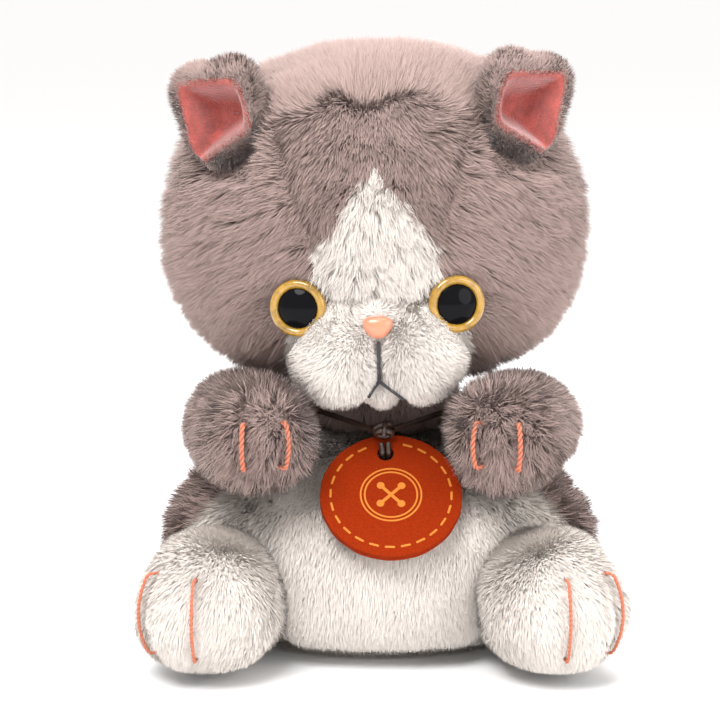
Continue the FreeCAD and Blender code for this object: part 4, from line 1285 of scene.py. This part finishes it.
def build_tag():
    place = tag_matrix()
    for name, low, high in (("tag_front", 0.02, TAG_LAYER), ("tag_back", -TAG_LAYER, -0.02)):
        wobble = 1 + 0.003 * np.sin(np.arange(TAG_OUTLINE_POINTS) * 0.55 + high)
        rim = circle(TAG_RADIUS, TAG_OUTLINE_POINTS)
        outline = [(x * share, y * share) for (x, y), share in zip(rim, wobble)]
        points, faces = plate(outline, low, high, (TAG_HOLE, TAG_HOLE_RADIUS))
        mesh = mesh_from(name + "_felt", apply_matrix(place, points), faces, False)
        mesh.materials.append(FINISHES["felt"])
        piece = new_object(name + "_felt", mesh)
        round_off = piece.modifiers.new("round", "BEVEL")
        round_off.width = TAG_EDGE_ROUND * MM
        round_off.segments = 3
        round_off.limit_method = "ANGLE"
        apply_modifiers(piece)
        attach(piece, "tag")
        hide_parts(name)
    points, faces = print_shapes()
    mesh = mesh_from("tag_print", apply_matrix(place, points), faces, False)
    mesh.materials.append(FINISHES["print"])
    piece = new_object("tag_print", mesh)
    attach(piece, "tag")


def strand_curve(name, points, radius):
    """Round curve through control points in millimetres."""
    curve = bpy.data.curves.new(name, "CURVE")
    curve.dimensions = "3D"
    curve.bevel_depth = radius * MM
    curve.bevel_resolution = 4
    curve.resolution_u = 12
    curve.use_fill_caps = True
    spline = curve.splines.new("NURBS")
    spline.points.add(len(points) - 1)
    for point, place in zip(spline.points, points):
        point.co = (*[value * MM for value in place], 1.0)
    spline.order_u = 3
    spline.use_endpoint_u = True
    curve.materials.append(FINISHES["cord"])
    return new_object(name, curve)


def build_cord():
    cord = strand_curve("neck_cord", CORD_ROUTE, CORD_DIAMETER / 2)
    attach(cord, "trunk")
    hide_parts("tag_cord")


def along_tag(x, y, z):
    return tuple(tag_matrix() @ Vector((x, y, z)))


def build_knot():
    """Knot over the tag, of three turns, and the strands through the hole and up behind."""
    parts = []
    for lift, size, tilt in KNOT_TURNS:
        turns = np.linspace(0, 2 * pi, 40)
        ring = [along_tag(size * cos(turn), KNOT_FROM_CENTRE + lift + tilt * cos(turn),
                          KNOT_PROUD + 1.15 * sin(turn)) for turn in turns]
        parts.append(tube_along(ring, KNOT_STRAND, 12))
    turns = np.linspace(-0.45 * pi, 0.45 * pi, 24)
    over = [along_tag(0.35 + 0.5 * sin(turn), KNOT_FROM_CENTRE + 1.9 * sin(turn),
                      KNOT_PROUD + 0.5 + 1.0 * cos(turn)) for turn in turns]
    parts.append(tube_along(over, KNOT_TOP_STRAND, 12))
    solid_piece("tag_knot_turns", *merged(parts), "cord", ["tag_knot"], "trunk", "waxed_cord")
    strands = []
    depth = TAG_LAYER + 0.9
    for offset in (-LOOP_SPREAD, LOOP_SPREAD):
        path = [(offset * 1.2, 14.2, 2.5), (offset, 13.0, depth), (offset, 12.1, 1.2), (offset, 12.0, 0.0),
                (offset, 12.1, -1.2), (offset, 13.2, -depth), (offset, 16.0, -2.0), (offset, 18.6, -1.9),
                (offset, 19.4, 0.0), (offset * 1.1, 19.2, 1.6)]
        line = smooth_path([along_tag(*point) for point in path], 60)
        strands.append(tube_along(line, LOOP_STRAND, 12))
    solid_piece("tag_loop_strands", *merged(strands), "cord", ["tag_loop"], "tag", "waxed_cord")


def smooth_path(points, count):
    """Points evenly along a smooth line through the given ones."""
    points = np.asarray(points, float)
    padded = np.vstack([2 * points[0] - points[1], points, 2 * points[-1] - points[-2]])
    result = []
    for place in np.linspace(0, len(points) - 1.0001, count):
        index = int(place)
        t = place - index
        a, b, c, d = padded[index:index + 4]
        result.append(0.5 * (2 * b + (c - a) * t + (2 * a - 5 * b + 4 * c - d) * t ** 2
                             + (3 * b - a - 3 * c + d) * t ** 3))
    return np.array(result)


class PLUSH_OT_tag(Operator):
    """Round felt tag with its print, on a waxed cord knotted round the neck"""
    bl_idname = "plush_cat.tag"
    bl_label = "Tag and Cord"

    def execute(self, context):
        build_cord()
        build_knot()
        build_tag()
        return {"FINISHED"}


# ---------------------------------------------------------------- finishes

CORD_COLOUR = (0.028, 0.012, 0.007)
PUPIL_COLOUR = (0.003, 0.003, 0.004)
MOUTH_COLOUR = (0.035, 0.034, 0.037)
WASHER_COLOUR = (0.6, 0.6, 0.6)


def felt_material(color):
    material, tree, shader = plain_material("felt", color, 0.95, Specular_IOR_Level=0.1)
    fibres = noise_on_object(tree, 2200.0, 4.0, 0.7)
    tones = ramp_of(tree, fibres.outputs["Fac"], [(0.3, scaled(color, 0.72)), (0.7, scaled(color, 1.15))])
    tree.links.new(tones.outputs["Color"], shader.inputs["Base Color"])
    add_bump(tree, shader, fibres.outputs["Fac"], 0.35, 0.0003)
    return material


def knit_material(color):
    """Brushed knit: mottled, with a fine grain."""
    material, tree, shader = plain_material("coral_knit", color, 0.9, Sheen_Weight=0.5)
    soft = noise_on_object(tree, 350.0, 4.0, 0.65)
    grain = noise_on_object(tree, 1800.0, 2.0)
    tones = ramp_of(tree, soft.outputs["Fac"], [(0.3, scaled(color, 0.62)), (0.7, scaled(color, 1.2))])
    tree.links.new(tones.outputs["Color"], shader.inputs["Base Color"])
    add_bump(tree, shader, grain.outputs["Fac"], 0.8, 0.0006)
    return material


def ring_material(color):
    """Moulded ring with soft streaks in its colour under a clear coat."""
    material, tree, shader = plain_material("mustard_moulding", color, 0.22,
                                            Coat_Weight=0.7, Coat_Roughness=0.08)
    cloud = noise_on_object(tree, 420.0, 3.0, 0.6)
    tones = ramp_of(tree, cloud.outputs["Fac"], [
        (0.25, scaled(color, 0.5)), (0.5, color), (0.75, scaled(color, 1.25))])
    tree.links.new(tones.outputs["Color"], shader.inputs["Base Color"])
    return material


def cord_material():
    material, tree, shader = plain_material("waxed_cord", CORD_COLOUR, 0.38, Coat_Weight=0.2)
    fibres = noise_on_object(tree, 2600.0, 2.0)
    add_bump(tree, shader, fibres.outputs["Fac"], 0.4, 0.0002)
    return material


def build_finishes():
    chosen = settings()
    grey, white, salmon = tuple(chosen.grey), tuple(chosen.white), tuple(chosen.salmon)
    FINISHES["tree"] = pile_tree()
    # Pile roots at 0.6 and 0.86 of the tip colour, and backings at 0.55 and 0.85, are darkened as painted
    # shade deep in the pile.
    FINISHES["grey"] = (pile_material("grey_pile", grey, scaled(grey, 0.6), 0.14),
                        backing_material("grey_backing", scaled(grey, 0.55)))
    FINISHES["white"] = (pile_material("white_pile", white, scaled(white, 0.86), 0.05),
                         backing_material("white_backing", scaled(white, 0.85)))
    FINISHES["coral"] = knit_material(tuple(chosen.coral))
    FINISHES["mustard"] = ring_material(tuple(chosen.mustard))
    FINISHES["black"] = plain_material("black_moulding", PUPIL_COLOUR, 0.07, Specular_IOR_Level=0.08)[0]
    FINISHES["salmon"] = plain_material("salmon_moulding", salmon, 0.28, Coat_Weight=0.4)[0]
    FINISHES["salmon_thread"] = plain_material("salmon_thread", scaled(salmon, 0.72), 0.7)[0]
    FINISHES["grey_thread"] = plain_material("grey_thread", MOUTH_COLOUR, 0.8)[0]
    FINISHES["plastic"] = plain_material("washer_plastic", WASHER_COLOUR, 0.4)[0]
    FINISHES["felt"] = felt_material(tuple(chosen.tag))
    FINISHES["print"] = plain_material("tag_print", tuple(chosen.tag_print), 0.75)[0]
    FINISHES["cord"] = cord_material()


class PLUSH_OT_finishes(Operator):
    """Materials of every piece"""
    bl_idname = "plush_cat.finishes"
    bl_label = "Finishes"

    def execute(self, context):
        build_finishes()
        return {"FINISHED"}


# ---------------------------------------------------------------- stage

CAMERA_AIM = (-4.94, 0.0, 69.8)
CAMERA_DISTANCE = 600.0
CAMERA_RISE = 10.0
CAMERA_LENS = 115.4
FLOOR_RADIUS, FLOOR_DROP = 30000.0, 0.05
FLOOR_COLOUR = (0.93, 0.93, 0.93)
WORLD_COLOUR, WORLD_STRENGTH = (1.0, 0.99, 0.98, 1.0), 1.05
LIGHT_AIM = (0, 0, 0.06)
# name, direction, distance and size in metres, watts
LIGHTS = (
    ("key", (-0.35, -0.75, 1.0), 0.75, 0.40, 5.4),
    ("fill", (0.9, -0.7, 0.35), 0.8, 0.6, 2.8),
    ("top", (0.1, 0.15, 1.0), 0.7, 0.5, 4.2),
)


def soft_light(name, direction, distance, size, energy):
    light = bpy.data.lights.new(name, "AREA")
    light.shape = "DISK"
    light.size = size
    light.energy = energy
    lamp = new_object(name, light)
    place = frame_to((0, 0, 0), direction, (0, 0.01, 1))
    place.translation = Vector(LIGHT_AIM) + Vector(direction).normalized() * distance
    lamp.matrix_world = place


def build_stage():
    rise = radians(CAMERA_RISE)
    camera = bpy.data.cameras.new("camera")
    camera.sensor_width = 36.0
    camera.lens = CAMERA_LENS
    camera.clip_start = 0.01
    back = (0.0, -cos(rise), sin(rise))
    place = frame_to((0, 0, 0), back)
    place.translation = (Vector(CAMERA_AIM) + Vector(back) * CAMERA_DISTANCE) * MM
    viewer = new_object("camera", camera)
    viewer.matrix_world = place
    bpy.context.scene.camera = viewer
    points, faces = lathe([(0.0, 0.0), (FLOOR_RADIUS, 0.0)], 64)
    floor = new_object("floor", mesh_from("floor", points - np.array([0, 0, FLOOR_DROP]), faces, False))
    floor.data.materials.append(plain_material("floor_paint", FLOOR_COLOUR, 0.9)[0])
    world = bpy.data.worlds.new("studio")
    world.use_nodes = True
    background = world.node_tree.nodes["Background"]
    background.inputs["Color"].default_value = WORLD_COLOUR
    background.inputs["Strength"].default_value = WORLD_STRENGTH
    bpy.context.scene.world = world
    for light in LIGHTS:
        soft_light(*light)
    bpy.context.scene.view_settings.view_transform = "Standard"


class PLUSH_OT_stage(Operator):
    """Pale floor, soft studio light and the camera"""
    bl_idname = "plush_cat.stage"
    bl_label = "Stage"

    def execute(self, context):
        build_stage()
        return {"FINISHED"}


# ---------------------------------------------------------------- panel and run

OPERATORS = (PLUSH_OT_finishes, PLUSH_OT_stage, PLUSH_OT_tag, PLUSH_OT_head, PLUSH_OT_ears, PLUSH_OT_face,
             PLUSH_OT_trunk, PLUSH_OT_limbs)


class PLUSH_PT_cat(Panel):
    """Builds the cat piece by piece"""
    bl_idname = "PLUSH_PT_cat"
    bl_label = "Plush Cat"
    bl_space_type = "VIEW_3D"
    bl_region_type = "UI"
    bl_category = "Plush Cat"

    def draw(self, context):
        chosen = context.scene.plush_cat
        for name in CatSettings.__annotations__:
            self.layout.prop(chosen, name)
        for operator in OPERATORS:
            self.layout.operator(operator.bl_idname)


CLASSES = (CatSettings, *OPERATORS, PLUSH_PT_cat)


def register():
    for item in CLASSES:
        bpy.utils.register_class(item)
    bpy.types.Scene.plush_cat = PointerProperty(type=CatSettings)


def unregister():
    del bpy.types.Scene.plush_cat
    for item in reversed(CLASSES):
        bpy.utils.unregister_class(item)


def main():
    register()
    for operator in OPERATORS:
        group, name = operator.bl_idname.split(".")
        getattr(getattr(bpy.ops, group), name)()


if __name__ == "__main__":
    main()
